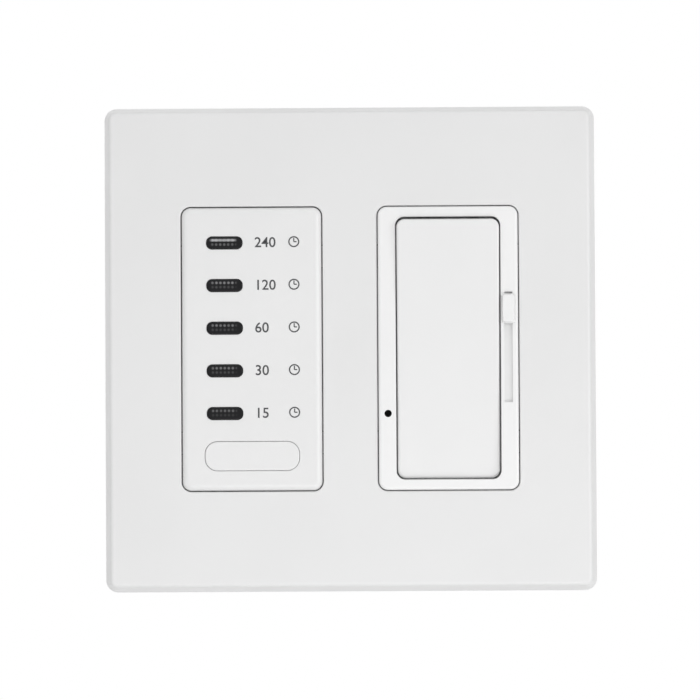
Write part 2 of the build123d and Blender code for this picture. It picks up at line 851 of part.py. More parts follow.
def make_slide_knob():
    """The knob with its dished grip and a stem, pocketed for the lever."""
    base = face_front - fit_gap
    top = base - knob_proud
    outline = panel(knob_width, knob_height, knob_corner_radius, slider_x, knob_z)
    draft_angle = math.degrees(math.atan(knob_draft / knob_proud))
    cap = extrude(seen_from_front(outline, base), amount=knob_proud, taper=draft_angle)
    cap = fillet(front_edges(cap), knob_round)
    dish_y = top + knob_dish_depth - knob_dish_radius
    cap -= cross_rod(knob_dish_radius, about(slider_x, knob_width + overrun), dish_y, knob_z)
    stem_y_span = (base, strap_front - stem_strap_gap)
    stem = block(about(slider_x, stem_width), stem_y_span, about(knob_z, stem_height))
    pocket_x_span = about(slider_x, lever_thickness + 2 * fit_gap)
    pocket_z_span = about(knob_z, lever_height + 2 * fit_gap)
    pocket_front = strap_front - lever_reach - fit_gap
    stem -= block(pocket_x_span, (pocket_front, overrun), pocket_z_span)
    return cap + stem


def make_shutter_strip():
    """A thin strip that rides behind the slot with the knob and keeps the slot closed."""
    front = channel_front + fit_gap
    width = channel_width - 2 * slide_gap
    strip = Pos(slider_x, knob_z) * Rectangle(width, 2 * shutter_half)
    hole = Rectangle(stem_width + 2 * fit_gap, stem_height + 2 * fit_gap)
    strip -= Pos(slider_x, knob_z) * hole
    return slab(strip, front, front + shutter_thickness)


# Dimmer switch: the paddle rocks in two ears of the switch base, and a sprung plunger in its
# barrel throws a see-saw contact from one side to the other.
paddle_side_gap = 0.17
paddle_end_gap = 0.3
paddle_width = paddle_opening_width - 2 * paddle_side_gap
paddle_height = paddle_opening_height - 2 * paddle_end_gap
paddle_depth = 3.7
paddle_lean = 0.2
paddle_corner_radius = 2.0
paddle_edge_radius = 0.6
paddle_wall = 1.2
paddle_front_wall = 1.4
paddle_tilt = 3.5
pivot_depth = 3.7
rib_x = 5.2
rib_thickness = 1.2
rib_height = 6.0
rib_reach = 1.5
web_thickness = 1.2
web_depth = 1.7
pin_radius = 0.9
pin_length = 2.0
barrel_radius = 2.4
barrel_bore_radius = 1.7
barrel_length = 12.0
barrel_floor = 1.0
pivot_y = face_front + pivot_depth
paddle_inside = face_front + paddle_front_wall
barrel_end = paddle_inside + barrel_length
pin_tip = rib_x + rib_thickness + pin_length

# See-saw contact and what it touches
seesaw_tilt = 2 * paddle_tilt
seesaw_y = 10.55
seesaw_thickness = 0.8
seesaw_width = 6.0
seesaw_length = 14.5
seesaw_wing = 0.6
seesaw_wing_depth = 1.7
seesaw_wing_height = 2.6
contact_inset = 1.25
contact_radius = 1.3
contact_height = 0.5
contact_gap = 0.05
support_foot = 3.2
tail_radius = 0.8
tail_length = 3.0
seesaw_front = seesaw_y - seesaw_thickness
contact_z = -(seesaw_length / 2 - contact_inset)
plunger_pin_radius = 1.6
plunger_tip_radius = 1.1
plunger_shoulder_y = 7.0
plunger_back_length = 4.5
spring_wire_radius = 0.22
spring_turns = 8

# Switch base: a flange behind the strap, two bearing ears through its window, and a well
# for the see-saw that passes through the dimmer board.
base_flange_reach = 2.1
base_flange_thickness = 1.4
base_shoulder_width = 1.7
base_shoulder_height = 2.0
base_mouth_width = 10.4
base_mouth_height = 12.0
base_well_wall = 1.5
seesaw_side_gap = 1.8
seesaw_end_gap = 0.75
base_well_width = seesaw_width + 2 * (seesaw_side_gap + base_well_wall)
base_well_height = seesaw_length + 2 * (seesaw_end_gap + base_well_wall)
base_body_width = base_well_width + 2 * base_shoulder_width
base_body_height = base_well_height + 2 * base_shoulder_height
base_flange_width = base_body_width + 2 * base_flange_reach
base_floor_y = 13.4
base_floor = 1.2
base_radius = 1.0
ear_gap = 0.5
ear_thickness = 1.6
ear_round = 1.75
stop_width = 4.0
stop_depth = 1.0
switch_window_width = 20.0
switch_window_height = 15.0
board_window_gap = 0.2

# Other parts of the dimmer
pipe_radius = 0.78
pipe_flange_radius = 0.9
pipe_flange_thickness = 0.8
pipe_hole_radius = 1.1
locator_led_size = (1.6, 1.0, 0.8)
pipe_led_gap = 0.1
triac_width = 10.0
triac_body_length = 9.0
triac_body_thickness = 4.5
triac_tab_length = 6.8
triac_tab_thickness = 1.3
triac_column_gap = 0.5
triac_z = column_z - column_radius - triac_column_gap - triac_width / 2
rivet_radius = 1.5
rivet_head_radius = 2.3
rivet_head_height = 0.7
choke_x = 4.0
choke_well_gap = 0.7
choke_flange_radius = 6.8
choke_core_radius = 3.0
choke_winding_radius = 5.9
choke_length = 13.0
choke_flange_thickness = 1.6
filter_size = (13.0, 12.0, 7.0)
filter_well_gap = 6.5
filter_round = 0.6
choke_z = base_well_height / 2 + choke_well_gap + choke_flange_radius
filter_z = -(base_well_height / 2 + filter_well_gap + filter_size[2] / 2)
dimmer_pockets = [(-1, pocket_spread), (-1, -pocket_spread), (1, 0)]
dimmer_pocket_y = dimmer_board_back + pocket_wall + pocket_length / 2


def make_dimmer_strap():
    strap = make_strap_blank()
    openings = panel(switch_window_width, switch_window_height, base_radius)
    lever_width = lever_thickness + 2 * lever_window_gap
    lever_run = slider_travel + lever_height + 2 * lever_window_gap
    openings += panel(lever_width, lever_run, lever_window_gap, slider_x, slot_z)
    openings += Pos(locator_x, locator_z) * Circle(pipe_hole_radius)
    openings += Pos(0, triac_z) * Circle(rivet_radius + fit_gap)
    return strap - slab(openings, strap_front - overrun, overrun)


def make_slide_pot():
    """The potentiometer's case: a closed box with a long slot for its lever."""
    z_span = about(slot_z, pot_length)
    case = block(about(slider_x, pot_width), (pot_front, dimmer_board_front), z_span)
    room_z_span = about(slot_z, slider_travel + carrier_height + 2 * pot_wall)
    room_y_span = (pot_front + pot_wall, dimmer_board_front - pot_wall)
    case -= block(about(slider_x, pot_width - 2 * pot_wall), room_y_span, room_z_span)
    slot_x_span = about(slider_x, lever_thickness + 2 * pot_slot_gap)
    slot_z_span = about(slot_z, slider_travel + lever_height + 2 * pot_slot_gap)
    case -= block(slot_x_span, (pot_front - overrun, pot_front + pot_wall + overrun), slot_z_span)
    return case


def make_pot_lever():
    """The wiper's carrier inside the case and the flat lever that stands out of it."""
    carrier_y_span = (carrier_front, carrier_front + carrier_thickness)
    carrier = block(about(slider_x, carrier_width), carrier_y_span, about(knob_z, carrier_height))
    lever_y_span = (strap_front - lever_reach, carrier_front)
    lever_x_span = about(slider_x, lever_thickness)
    return carrier + block(lever_x_span, lever_y_span, about(knob_z, lever_height))


def rocked(solid):
    """Turn a piece of the paddle to its rest, with the top edge proud and the bottom in."""
    return solid.rotate(Axis((0, pivot_y, 0), (1, 0, 0)), paddle_tilt)


def tipped(solid):
    """Turn a piece of the see-saw to its rest, with the upper end pressed in."""
    return solid.rotate(Axis((0, seesaw_y, 0), (1, 0, 0)), -seesaw_tilt)


def make_paddle():
    lean_angle = math.degrees(math.atan(paddle_lean / paddle_depth))
    skirt_back = face_front + paddle_depth
    base = seen_from_front(panel(paddle_width, paddle_height, paddle_corner_radius), skirt_back)
    paddle = extrude(base, amount=paddle_depth, taper=lean_angle)
    paddle = fillet(front_edges(paddle), paddle_edge_radius)
    inner_width = paddle_width - 2 * paddle_wall
    inner_height = paddle_height - 2 * paddle_wall
    room = seen_from_front(panel(inner_width, inner_height, paddle_edge_radius), skirt_back)
    paddle -= extrude(room, amount=paddle_depth - paddle_front_wall, taper=lean_angle)
    rib_y_span = (paddle_inside, pivot_y + rib_reach)
    for side in (-1, 1):
        rib_x_span = side_span(side, rib_x, rib_x + rib_thickness)
        paddle += block(rib_x_span, rib_y_span, about(0, rib_height))
        paddle += cross_rod(pin_radius, side_span(side, rib_x, pin_tip), pivot_y, 0)
    web_y_span = (paddle_inside, paddle_inside + web_depth)
    paddle += block((-rib_x, rib_x), web_y_span, about(0, web_thickness))
    paddle += rod(barrel_radius, 0, 0, paddle_inside, barrel_end)
    bore_front = paddle_inside + barrel_floor
    paddle -= rod(barrel_bore_radius, 0, 0, bore_front, barrel_end + overrun)
    return rocked(paddle)


def make_switch_plunger():
    """A pin that the spring pushes out of the barrel, with a round nose on the see-saw."""
    nose_y = seesaw_front - slide_gap
    shoulder_back = plunger_shoulder_y - plunger_back_length
    pin = rod(plunger_pin_radius, 0, 0, shoulder_back, plunger_shoulder_y)
    nose = rod(plunger_tip_radius, 0, 0, plunger_shoulder_y, nose_y - plunger_tip_radius)
    ball = Pos(0, nose_y - plunger_tip_radius, 0) * Sphere(plunger_tip_radius)
    return rocked(pin + nose + ball)


def make_plunger_spring():
    """The coil that pushes the plunger, between the barrel's floor and the plunger's back."""
    low = paddle_inside + barrel_floor + spring_wire_radius
    high = plunger_shoulder_y - plunger_back_length - spring_wire_radius
    coil_radius = barrel_bore_radius - spring_wire_radius - slide_gap
    length = high - low
    path = Helix(pitch=length / spring_turns, height=length, radius=coil_radius)
    start = Plane(origin=path @ 0, z_dir=path % 0)
    coil = sweep(start * RegularPolygon(spring_wire_radius, 6), path)
    return rocked(Pos(0, low, 0) * Rot(-90, 0, 0) * coil)


def make_switch_base():
    flange = panel(base_flange_width, base_body_height, base_radius)
    base = slab(flange, 0, base_flange_thickness)
    body = panel(base_body_width, base_body_height, base_radius)
    base += slab(body, base_flange_thickness, dimmer_board_front)
    well = panel(base_well_width, base_well_height, base_radius)
    base += slab(well, dimmer_board_front, base_floor_y + base_floor)
    mouth = Rectangle(base_mouth_width, base_mouth_height)
    base -= slab(mouth, -overrun, dimmer_board_front)
    room = Rectangle(base_well_width - 2 * base_well_wall, base_well_height - 2 * base_well_wall)
    base -= slab(room, dimmer_board_front - base_well_wall, base_floor_y)
    ear_inner = rib_x + rib_thickness + ear_gap
    for side in (-1, 1):
        x_span = side_span(side, ear_inner, ear_inner + ear_thickness)
        base += block(x_span, (pivot_y, base_flange_thickness), about(0, 2 * ear_round))
        base += cross_rod(ear_round, x_span, pivot_y, 0)
        bore = side_span(side, ear_inner - overrun, ear_inner + ear_thickness + overrun)
        base -= cross_rod(pin_radius + fit_gap, bore, pivot_y, 0)
    sink = math.sin(math.radians(seesaw_tilt)) * seesaw_length / 2
    stop_y_span = (seesaw_y + sink + fit_gap, base_floor_y)
    stop_z = (seesaw_length - stop_depth) / 2
    base += block(about(0, stop_width), stop_y_span, about(stop_z, stop_depth))
    for z in (0, contact_z):
        bore_end = base_floor_y + base_floor + overrun
        base -= rod(tail_radius + fit_gap, 0, z, base_floor_y - overrun, bore_end)
    return base


def make_contact_rocker():
    """The see-saw: a flat blade with a small wing on each side of its support."""
    x_span = about(0, seesaw_width)
    blade = block(x_span, (seesaw_front, seesaw_y), about(0, seesaw_length))
    for side in (-1, 1):
        wing_x_span = side_span(side, seesaw_width / 2 - seesaw_wing, seesaw_width / 2)
        wing_y_span = (seesaw_y, seesaw_y + seesaw_wing_depth)
        blade += block(wing_x_span, wing_y_span, about(0, seesaw_wing_height))
    return tipped(blade)


def make_rocker_contact():
    return tipped(rod(contact_radius, 0, contact_z, seesaw_y, seesaw_y + contact_height))


def make_rocker_support():
    """A knife-edge block under the see-saw, with a tail through the base's floor."""
    edge_y = seesaw_y + fit_gap
    corners = [(edge_y, 0), (base_floor_y, -support_foot / 2), (base_floor_y, support_foot / 2)]
    width = seesaw_width - 2 * (seesaw_wing + slide_gap)
    section = Plane.YZ * make_face(Polyline(*corners, close=True))
    support = Pos(-width / 2, 0, 0) * extrude(section, amount=width)
    return support + rod(tail_radius, 0, 0, base_floor_y, base_floor_y + tail_length)


def make_fixed_contact():
    """The contact that the see-saw closes on when the paddle's top is pressed."""
    tilt = math.radians(seesaw_tilt)
    reach = abs(contact_z) + contact_radius
    face_y = seesaw_y + contact_height * math.cos(tilt) + reach * math.sin(tilt) + contact_gap
    button = rod(contact_radius, 0, contact_z, face_y, base_floor_y)
    return button + rod(tail_radius, 0, contact_z, base_floor_y, base_floor_y + tail_length)


def make_light_pipe():
    """A thin clear rod from the pinhole back to the locator LED."""
    front = face_front + locator_recess
    led_front = dimmer_board_front - locator_led_size[1]
    pipe = rod(pipe_radius, locator_x, locator_z, front, led_front - pipe_led_gap)
    flange_y_span = (face_inside + fit_gap, face_inside + fit_gap + pipe_flange_thickness)
    return pipe + rod(pipe_flange_radius, locator_x, locator_z, *flange_y_span)


def make_locator_led():
    width, thickness, height = locator_led_size
    span = (dimmer_board_front - thickness, dimmer_board_front)
    return block(about(locator_x, width), span, about(locator_z, height))


def make_dimmer_board():
    board = panel(board_width, board_height, board_radius)
    width = base_well_width + 2 * board_window_gap
    height = base_well_height + 2 * board_window_gap
    return slab(board - Rectangle(width, height), dimmer_board_front, dimmer_board_back)


def make_triac():
    """A flat power switch whose metal tab is riveted to the strap, its heat sink."""
    z_span = about(triac_z, triac_width)
    tab_x_span = about(0, triac_tab_length)
    body_x_span = (tab_x_span[0] - triac_body_length, tab_x_span[0])
    triac = block(tab_x_span, (0, triac_tab_thickness), z_span)
    triac += block(body_x_span, (0, triac_body_thickness), z_span)
    bore_end = triac_tab_thickness + overrun
    return triac - rod(rivet_radius + fit_gap, 0, triac_z, -overrun, bore_end)


def make_triac_rivet():
    rivet = rod(rivet_radius, 0, triac_z, strap_front, triac_tab_thickness)
    front_head = (strap_front - rivet_head_height, strap_front)
    back_head = (triac_tab_thickness, triac_tab_thickness + rivet_head_height)
    for span in (front_head, back_head):
        rivet += rod(rivet_head_radius, 0, triac_z, *span)
    return rivet


def make_choke_core():
    """A ferrite spool that stands on the back of the dimmer board."""
    back = dimmer_board_back + choke_length
    core = rod(choke_core_radius, choke_x, choke_z, dimmer_board_back, back)
    for front in (dimmer_board_back, back - choke_flange_thickness):
        core += rod(choke_flange_radius, choke_x, choke_z, front, front + choke_flange_thickness)
    return core


def make_choke_winding():
    front = dimmer_board_back + choke_flange_thickness + fit_gap
    back = dimmer_board_back + choke_length - choke_flange_thickness - fit_gap
    winding = rod(choke_winding_radius, choke_x, choke_z, front, back)
    return winding - rod(choke_core_radius + fit_gap, choke_x, choke_z, front, back)


def make_filter_capacitor():
    width, depth, height = filter_size
    span = (dimmer_board_back, dimmer_board_back + depth)
    box = block(about(0, width), span, about(filter_z, height))
    rear = box.faces().sort_by(Axis.Y)[-1].edges()
    return fillet(rear, filter_round)


def make_dimmer_housing():
    housing = make_housing(dimmer_housing_depth, dimmer_pockets, dimmer_pocket_y, -1)
    return housing - ground_relief()


# Everything in its place, one file for each named piece
timer_place = Pos(-gang_pitch / 2, 0, 0)
dimmer_place = Pos(gang_pitch / 2, 0, 0)

cover_pieces = {
    "cover_plate": make_cover_plate(),
    "sub_plate": make_sub_plate(),
    "sub_plate_screws": make_sub_plate_screws(),
    "box_screws": make_box_screws(),
}

timer_screws = make_terminal_screws(timer_pockets, timer_pocket_y)
dimmer_screws = make_terminal_screws(dimmer_pockets, dimmer_pocket_y)
placed_screws = [timer_place * screw for screw in timer_screws]
placed_screws += [dimmer_place * screw for screw in dimmer_screws]
cover_pieces["terminal_screws"] = group(placed_screws)
ground_screws = [place * make_ground_screw() for place in (timer_place, dimmer_place)]
cover_pieces["ground_screws"] = group(ground_screws)

timer_pieces = {
    "timer_strap": make_timer_strap(),
    "timer_face": make_timer_face(),
    "timer_push_switches": make_push_switches(),
    "timer_key_leds": make_key_leds(),
    "control_board": make_control_board(),
    "controller_chip": make_controller_chip(),
    "board_header": make_board_header(),
    "power_board": make_power_board(),
    "timer_relay": upright_box(relay_size, relay_x, relay_z, relay_round),
    "dropper_capacitor": upright_box(dropper_size, dropper_x, dropper_z, dropper_round),
    "smoothing_capacitors": make_smoothing_capacitors(),
    "varistor": make_varistor(),
    "timer_housing": make_timer_housing(),
    "timer_terminal_plates": make_terminal_plates(
        timer_pockets, timer_pocket_y, power_board_front, 1
    ),
    "timer_housing_screws": make_long_screws(timer_housing_depth),
    "on_off_key": make_key(bar_width, bar_height, bar_radius, 0, bar_z, bar_proud),
    "on_off_plunger": make_plunger(0, bar_z),
}
key_minutes = (240, 120, 60, 30, 15)
for minutes, z in zip(key_minutes, key_zs):
    key = make_key(key_width, key_height, key_radius, key_x, z, key_proud)
    timer_pieces[f"time_key_{minutes}"] = key
    timer_pieces[f"time_plunger_{minutes}"] = make_plunger(key_x, z)

dimmer_pieces = {
    "dimmer_strap": make_dimmer_strap(),
    "dimmer_bezel": make_dimmer_bezel(),
    "dimmer_paddle": make_paddle(),
    "switch_plunger": make_switch_plunger(),
    "plunger_spring": make_plunger_spring(),
    "switch_base": make_switch_base(),
    "contact_rocker": make_contact_rocker(),
    "rocker_contact": make_rocker_contact(),
    "rocker_support": make_rocker_support(),
    "fixed_contact": make_fixed_contact(),
    "slide_knob": make_slide_knob(),
    "shutter_strip": make_shutter_strip(),
    "slide_pot": make_slide_pot(),
    "slide_pot_lever": make_pot_lever(),
    "light_pipe": make_light_pipe(),
    "locator_led": make_locator_led(),
    "dimmer_board": make_dimmer_board(),
    "triac": make_triac(),
    "triac_rivet": make_triac_rivet(),
    "choke_core": make_choke_core(),
    "choke_winding": make_choke_winding(),
    "filter_capacitor": make_filter_capacitor(),
    "dimmer_housing": make_dimmer_housing(),
    "dimmer_terminal_plates": make_terminal_plates(
        dimmer_pockets, dimmer_pocket_y, dimmer_board_back, -1
    ),
    "dimmer_housing_screws": make_long_screws(dimmer_housing_depth),
}

pieces = dict(cover_pieces)
pieces.update({name: timer_place * piece for name, piece in timer_pieces.items()})
pieces.update({name: dimmer_place * piece for name, piece in dimmer_pieces.items()})

os.makedirs("parts", exist_ok=True)
for name, piece in pieces.items():
    export_step(piece, f"parts/{name}.step")
print(len(pieces), "pieces")
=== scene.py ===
from math import cos, pi, radians, sin, tau

import bmesh
import bpy
from mathutils import Matrix, Vector


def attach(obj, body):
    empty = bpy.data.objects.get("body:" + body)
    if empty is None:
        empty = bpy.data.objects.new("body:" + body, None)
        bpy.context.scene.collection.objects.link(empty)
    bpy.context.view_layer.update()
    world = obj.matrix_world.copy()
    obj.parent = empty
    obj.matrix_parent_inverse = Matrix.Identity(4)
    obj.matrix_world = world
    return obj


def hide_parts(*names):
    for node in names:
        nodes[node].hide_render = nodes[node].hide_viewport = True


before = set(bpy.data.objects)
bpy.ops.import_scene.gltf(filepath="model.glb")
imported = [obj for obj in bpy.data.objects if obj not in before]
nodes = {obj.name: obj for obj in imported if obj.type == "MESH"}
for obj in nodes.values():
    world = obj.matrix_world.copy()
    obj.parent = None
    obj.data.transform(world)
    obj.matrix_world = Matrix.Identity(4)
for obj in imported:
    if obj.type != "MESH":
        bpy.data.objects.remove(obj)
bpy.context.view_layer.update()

# Rear housings: deep black boxes that hold each unit's works and carry the terminals in
# pockets on their sides. Glass-filled plastic, injection moulded in a sparked mould, with
# round marks where the ejector pins pushed each box out.
MM = 0.001
GANG_X = 23.02
PIN_FROM_GANG = 8.0
PIN_FROM_MIDDLE = 17.0
PIN_RADIUS = 2.4
PIN_RIM = 0.1
BACKS_BEHIND = 25.0


class Signal:
    """A value that varies over a surface. Sums and products of it add the Math nodes."""

    def __init__(self, finish, socket):
        self.finish = finish
        self.socket = socket

    def math(self, operation, *values):
        sockets = dict(enumerate((self, *values)))
        return self.finish.node("ShaderNodeMath", {"operation": operation}, sockets)

    def __add__(self, other):
        return self.math("ADD", other)

    def __mul__(self, other):
        return self.math("MULTIPLY", other)

    def __sub__(self, other):
        return self.math("SUBTRACT", other)

    def __rsub__(self, other):
        return self.math("MULTIPLY", -1.0) + other

    def __gt__(self, other):
        return self.math("GREATER_THAN", other)

    def __lt__(self, other):
        return self.math("LESS_THAN", other)

    def __abs__(self):
        return self.math("ABSOLUTE")

    def hypot(self, other):
        """Distance from an axis, from the distances along two directions across it."""
        return (self * self + other * other).math("SQRT")

    def fold(self, pitch):
        """Distance from the nearest multiple of a pitch."""
        return self.math("PINGPONG", pitch / 2)

    def step(self, low, high):
        """A soft step from 0 at low to 1 at high."""
        edges = {"Value": self, "From Min": low, "From Max": high}
        return self.finish.node("ShaderNodeMapRange", {"interpolation_type": "SMOOTHSTEP"}, edges)

    __radd__ = __add__
    __rmul__ = __mul__


class Finish:
    """One surface finish: a principled shader, and what varies over it."""

    def __init__(self, name, color, roughness, **constants):
        self.material = bpy.data.materials.new(name)
        self.material.use_nodes = True
        self.tree = self.material.node_tree
        self.shader = self.tree.nodes["Principled BSDF"]
        self.shade = color
        self.set("Base Color", (*color, 1.0))
        self.set("Roughness", roughness)
        for constant, value in constants.items():
            self.set(constant.replace("_", " ").title().replace("Ior", "IOR"), value)

    def plug(self, socket, value):
        """Feed a socket: link it to a signal, or set it to a plain value."""
        if isinstance(value, Signal):
            self.tree.links.new(value.socket, socket)
        else:
            socket.default_value = value

    def set(self, name, value):
        self.plug(self.shader.inputs[name], value)

    def node(self, kind, settings=None, sockets=None, out=0):
        """Add a node of a type, with its settings and its sockets' values or links."""
        made = self.tree.nodes.new(kind)
        for name, value in (settings or {}).items():
            setattr(made, name, value)
        for name, value in (sockets or {}).items():
            self.plug(made.inputs[name], value)
        return Signal(self, made.outputs[out])

    def place(self, stretch=(1, 1, 1), middle=(0, 0, 0)):
        """Object coordinates in millimetres, counted from a middle and stretched."""
        spot = self.node("ShaderNodeTexCoord", out="Object")
        scale = tuple(value / MM for value in stretch)
        move = tuple(-value * share for value, share in zip(middle, stretch))
        sockets = {"Vector": spot, "Scale": scale, "Location": move}
        return self.node("ShaderNodeMapping", None, sockets)

    def axes(self, middle=(0, 0, 0)):
        """Millimetres across, deep and up from a middle, as three values."""
        spot = self.node("ShaderNodeSeparateXYZ", None, {"Vector": self.place(middle=middle)})
        return [Signal(self, out) for out in spot.socket.node.outputs]

    def noise(self, size, detail=2.0, stretch=(1, 1, 1)):
        sockets = {"Vector": self.place(stretch), "Scale": 1 / size, "Detail": detail}
        return self.node("ShaderNodeTexNoise", None, sockets)

    def mix(self, share, first, second):
        first, second = [
            shade if isinstance(shade, Signal) else (*shade, 1.0) for shade in (first, second)
        ]
        sockets = {0: share, 6: first, 7: second}
        return self.node("ShaderNodeMix", {"data_type": "RGBA"}, sockets, 2)

    def tint(self, share, second):
        """Lay a second colour over the finish where share is 1."""
        self.shade = self.mix(share, self.shade, second)
        self.set("Base Color", self.shade)

    def sheen(self, size, low, high, stretch=(1, 1, 1)):
        """Roughness that drifts between two values over patches of a size."""
        self.set("Roughness", self.noise(size, 2.0, stretch).step(0.3, 0.7) * (high - low) + low)

    def relief(self, height):
        """Raise the surface by a height in millimetres."""
        self.set("Normal", self.node("ShaderNodeBump", None, {"Height": height, "Distance": MM}))

    def on(self, *names):
        """Give this finish to parts of the set by name."""
        for name in names:
            mesh = nodes[name].data
            mesh.materials.clear()
            mesh.materials.append(self.material)


housing_black = Finish("housing_black", (0.030, 0.030, 0.032), 0.5)
across, deep, up = housing_black.axes()
from_pin_x = abs(abs(abs(across) - GANG_X) - PIN_FROM_GANG)
from_pin_z = abs(abs(up) - PIN_FROM_MIDDLE)
in_pin = 1 - from_pin_x.hypot(from_pin_z).step(PIN_RADIUS - PIN_RIM, PIN_RADIUS + PIN_RIM)
pin_mark = in_pin * (deep > BACKS_BEHIND)
housing_black.tint(housing_black.noise(14.0).step(0.3, 0.8) * 0.4, (0.035, 0.035, 0.037))
housing_black.sheen(9.0, 0.50, 0.55)
housing_black.relief(housing_black.noise(0.55, 3.0) * 0.035 - pin_mark * 0.15)
housing_black.on("timer_housing", "dimmer_housing")

# Screws: long ones from the rear hold housing, works and strap together; brass ones clamp
# the wires; a green hexagon takes the ground wire. Cold headed with a slot and a cross,
# threads rolled, steel ones zinc plated.
WELD = 0.002
RIM = 0.15
THREAD_DEPTH = 0.26
THREAD_SHARES = (0.35, 0.65, 1.0)
POINT_LENGTH = 0.4
POINT_ROOM = 0.6
POINT_SUNK = 0.3
POINT_SHARE = 0.6
SHARP_ABOVE = radians(35)


def solids_of(name):
    """The lowest and highest corner, in millimetres, of each separate solid of a node."""
    copy = bmesh.new()
    copy.from_mesh(nodes[name].data)
    bmesh.ops.remove_doubles(copy, verts=copy.verts, dist=WELD * MM)
    boxes = []
    for start in copy.verts:
        if start.tag:
            continue
        start.tag = True
        island = [start]
        for vert in island:
            for edge in vert.link_edges:
                other = edge.other_vert(vert)
                if not other.tag:
                    other.tag = True
                    island.append(other)
        low = Vector([min(vert.co[axis] for vert in island) for axis in range(3)])
        high = Vector([max(vert.co[axis] for vert in island) for axis in range(3)])
        boxes.append((low / MM, high / MM))
    copy.free()
    return boxes


def turned(profile, steps):
    """A bmesh turned about its own upright axis from points of radius and height."""
    mesh = bmesh.new()
    corners = [mesh.verts.new((radius, 0, height)) for radius, height in profile]
    for pair in zip(corners, corners[1:]):
        mesh.edges.new(pair)
    outline = mesh.verts[:] + mesh.edges[:]
    bmesh.ops.spin(
        mesh, geom=outline, angle=tau, steps=steps, use_merge=True, axis=(0, 0, 1), cent=(0, 0, 0)
    )
    bmesh.ops.remove_doubles(mesh, verts=mesh.verts, dist=WELD)
    bmesh.ops.recalc_face_normals(mesh, faces=mesh.faces)
    return mesh


def threaded(radius, start, end, thread_length, pitch):
    """Points down a shank that is plain at first and threaded to its chamfered end."""
    points = [(radius, -start), (radius, thread_length - end)]
    for ring in range(int((thread_length - POINT_ROOM) / pitch)):
        top = thread_length - end - ring * pitch
        for share, sunk in zip(THREAD_SHARES, (THREAD_DEPTH, THREAD_DEPTH, 0.0)):
            points.append((radius - sunk, top - share * pitch))
    points.append((radius - POINT_SUNK, POINT_LENGTH - end))
    return points + [(radius * POINT_SHARE, -end), (0, -end)]


def pan_head(radius, height):
    """Points down a domed head."""
    turns = [radians(degrees) for degrees in (0, 18, 36, 54, 72, 90)]
    crown = [(radius * sin(turn), 0.5 * height * (cos(turn) - 1)) for turn in turns]
    return crown + [(radius, RIM - height), (radius - RIM, -height)]


def cut_drive(mesh, reach, width, depth, crown):
    """Sink a slot, and a cross bar half as long, into the crown of a head that looks up."""

    def on_crown(item):
        corners = getattr(item, "verts", [item])
        return all(vert.co.z > -crown - 5 * WELD for vert in corners)

    for way in (Vector((1, 0, 0)), Vector((0, 1, 0))):
        for place in (-reach, -reach / 2, -width / 2, width / 2, reach / 2, reach):
            top = [item for item in (*mesh.verts, *mesh.edges, *mesh.faces) if on_crown(item)]
            bmesh.ops.bisect_plane(mesh, geom=top, plane_co=way * place, plane_no=way)
    drive = []
    for face in mesh.faces:
        spot = face.calc_center_median()
        in_slot = abs(spot.x) < width / 2 and abs(spot.y) < reach
        in_cross = abs(spot.y) < width / 2 and abs(spot.x) < reach / 2
        if on_crown(face) and (in_slot or in_cross):
            drive.append(face)
    grown = bmesh.ops.extrude_face_region(mesh, geom=drive)["geom"]
    floor_verts = [item for item in grown if isinstance(item, bmesh.types.BMVert)]
    bmesh.ops.translate(mesh, verts=floor_verts, vec=(0, 0, -depth))
    bmesh.ops.delete(mesh, geom=drive, context="FACES")


def seated(mesh, box, way):
    """Lay a screw that looks up into its box, so that its head looks the given way."""
    low, high = box
    way = Vector(way)
    reach = abs((high - low).dot(way)) / 2
    turn = Vector((0, 0, 1)).rotation_difference(way).to_matrix().to_4x4()
    spot = (low + high) / 2 + way * reach
    bmesh.ops.transform(mesh, matrix=Matrix.Translation(spot) @ turn, verts=mesh.verts)
    return mesh


def joined(meshes):
    """One bmesh from several."""
    whole = bmesh.new()
    for mesh in meshes:
        data = bpy.data.meshes.new("part")
        mesh.to_mesh(data)
        whole.from_mesh(data)
        mesh.free()
        bpy.data.meshes.remove(data)
    return whole


def piece(name, mesh, finish, body, slot, *replaced):
    """Make one piece of the set from a mesh in millimetres, in place of plain parts."""
    bmesh.ops.scale(mesh, verts=mesh.verts, vec=(MM, MM, MM))
    data = bpy.data.meshes.new(name)
    mesh.to_mesh(data)
    mesh.free()
    data.shade_smooth()
    data.set_sharp_from_angle(angle=SHARP_ABOVE)
    data.materials.append(finish.material)
    made = bpy.data.objects.new(name, data)
    bpy.context.collection.objects.link(made)
    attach(made, body)
    if replaced:
        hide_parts(*replaced)


def plated(name, color, low, high):
    """Plated metal: a fine crystalline skin and faint stains."""
    finish = Finish(name, color, low, metallic=1.0)
    stain = tuple(value * share for value, share in zip(color, (0.86, 0.90, 0.97)))
    finish.tint(finish.noise(2.5, 3.0).step(0.45, 0.75), stain)
    finish.sheen(1.2, low, high)
    finish.relief(finish.noise(0.25) * 0.008)
    return finish


zinc = plated("zinc_plate", (0.60, 0.60, 0.585), 0.28, 0.42)
screw_brass = plated("screw_brass", (0.66, 0.44, 0.17), 0.25, 0.40)
ground_green = plated("ground_green", (0.045, 0.26, 0.085), 0.30, 0.45)


def long_screw(box):
    length = box[1].y - box[0].y
    shank = threaded(radius=1.45, start=1.8, end=length, thread_length=9.0, pitch=0.6)
    mesh = turned(pan_head(radius=2.3, height=1.8) + shank, steps=20)
    cut_drive(mesh, reach=1.75, width=0.65, depth=0.8, crown=0.9)
    return seated(mesh, box, (0, 1, 0))


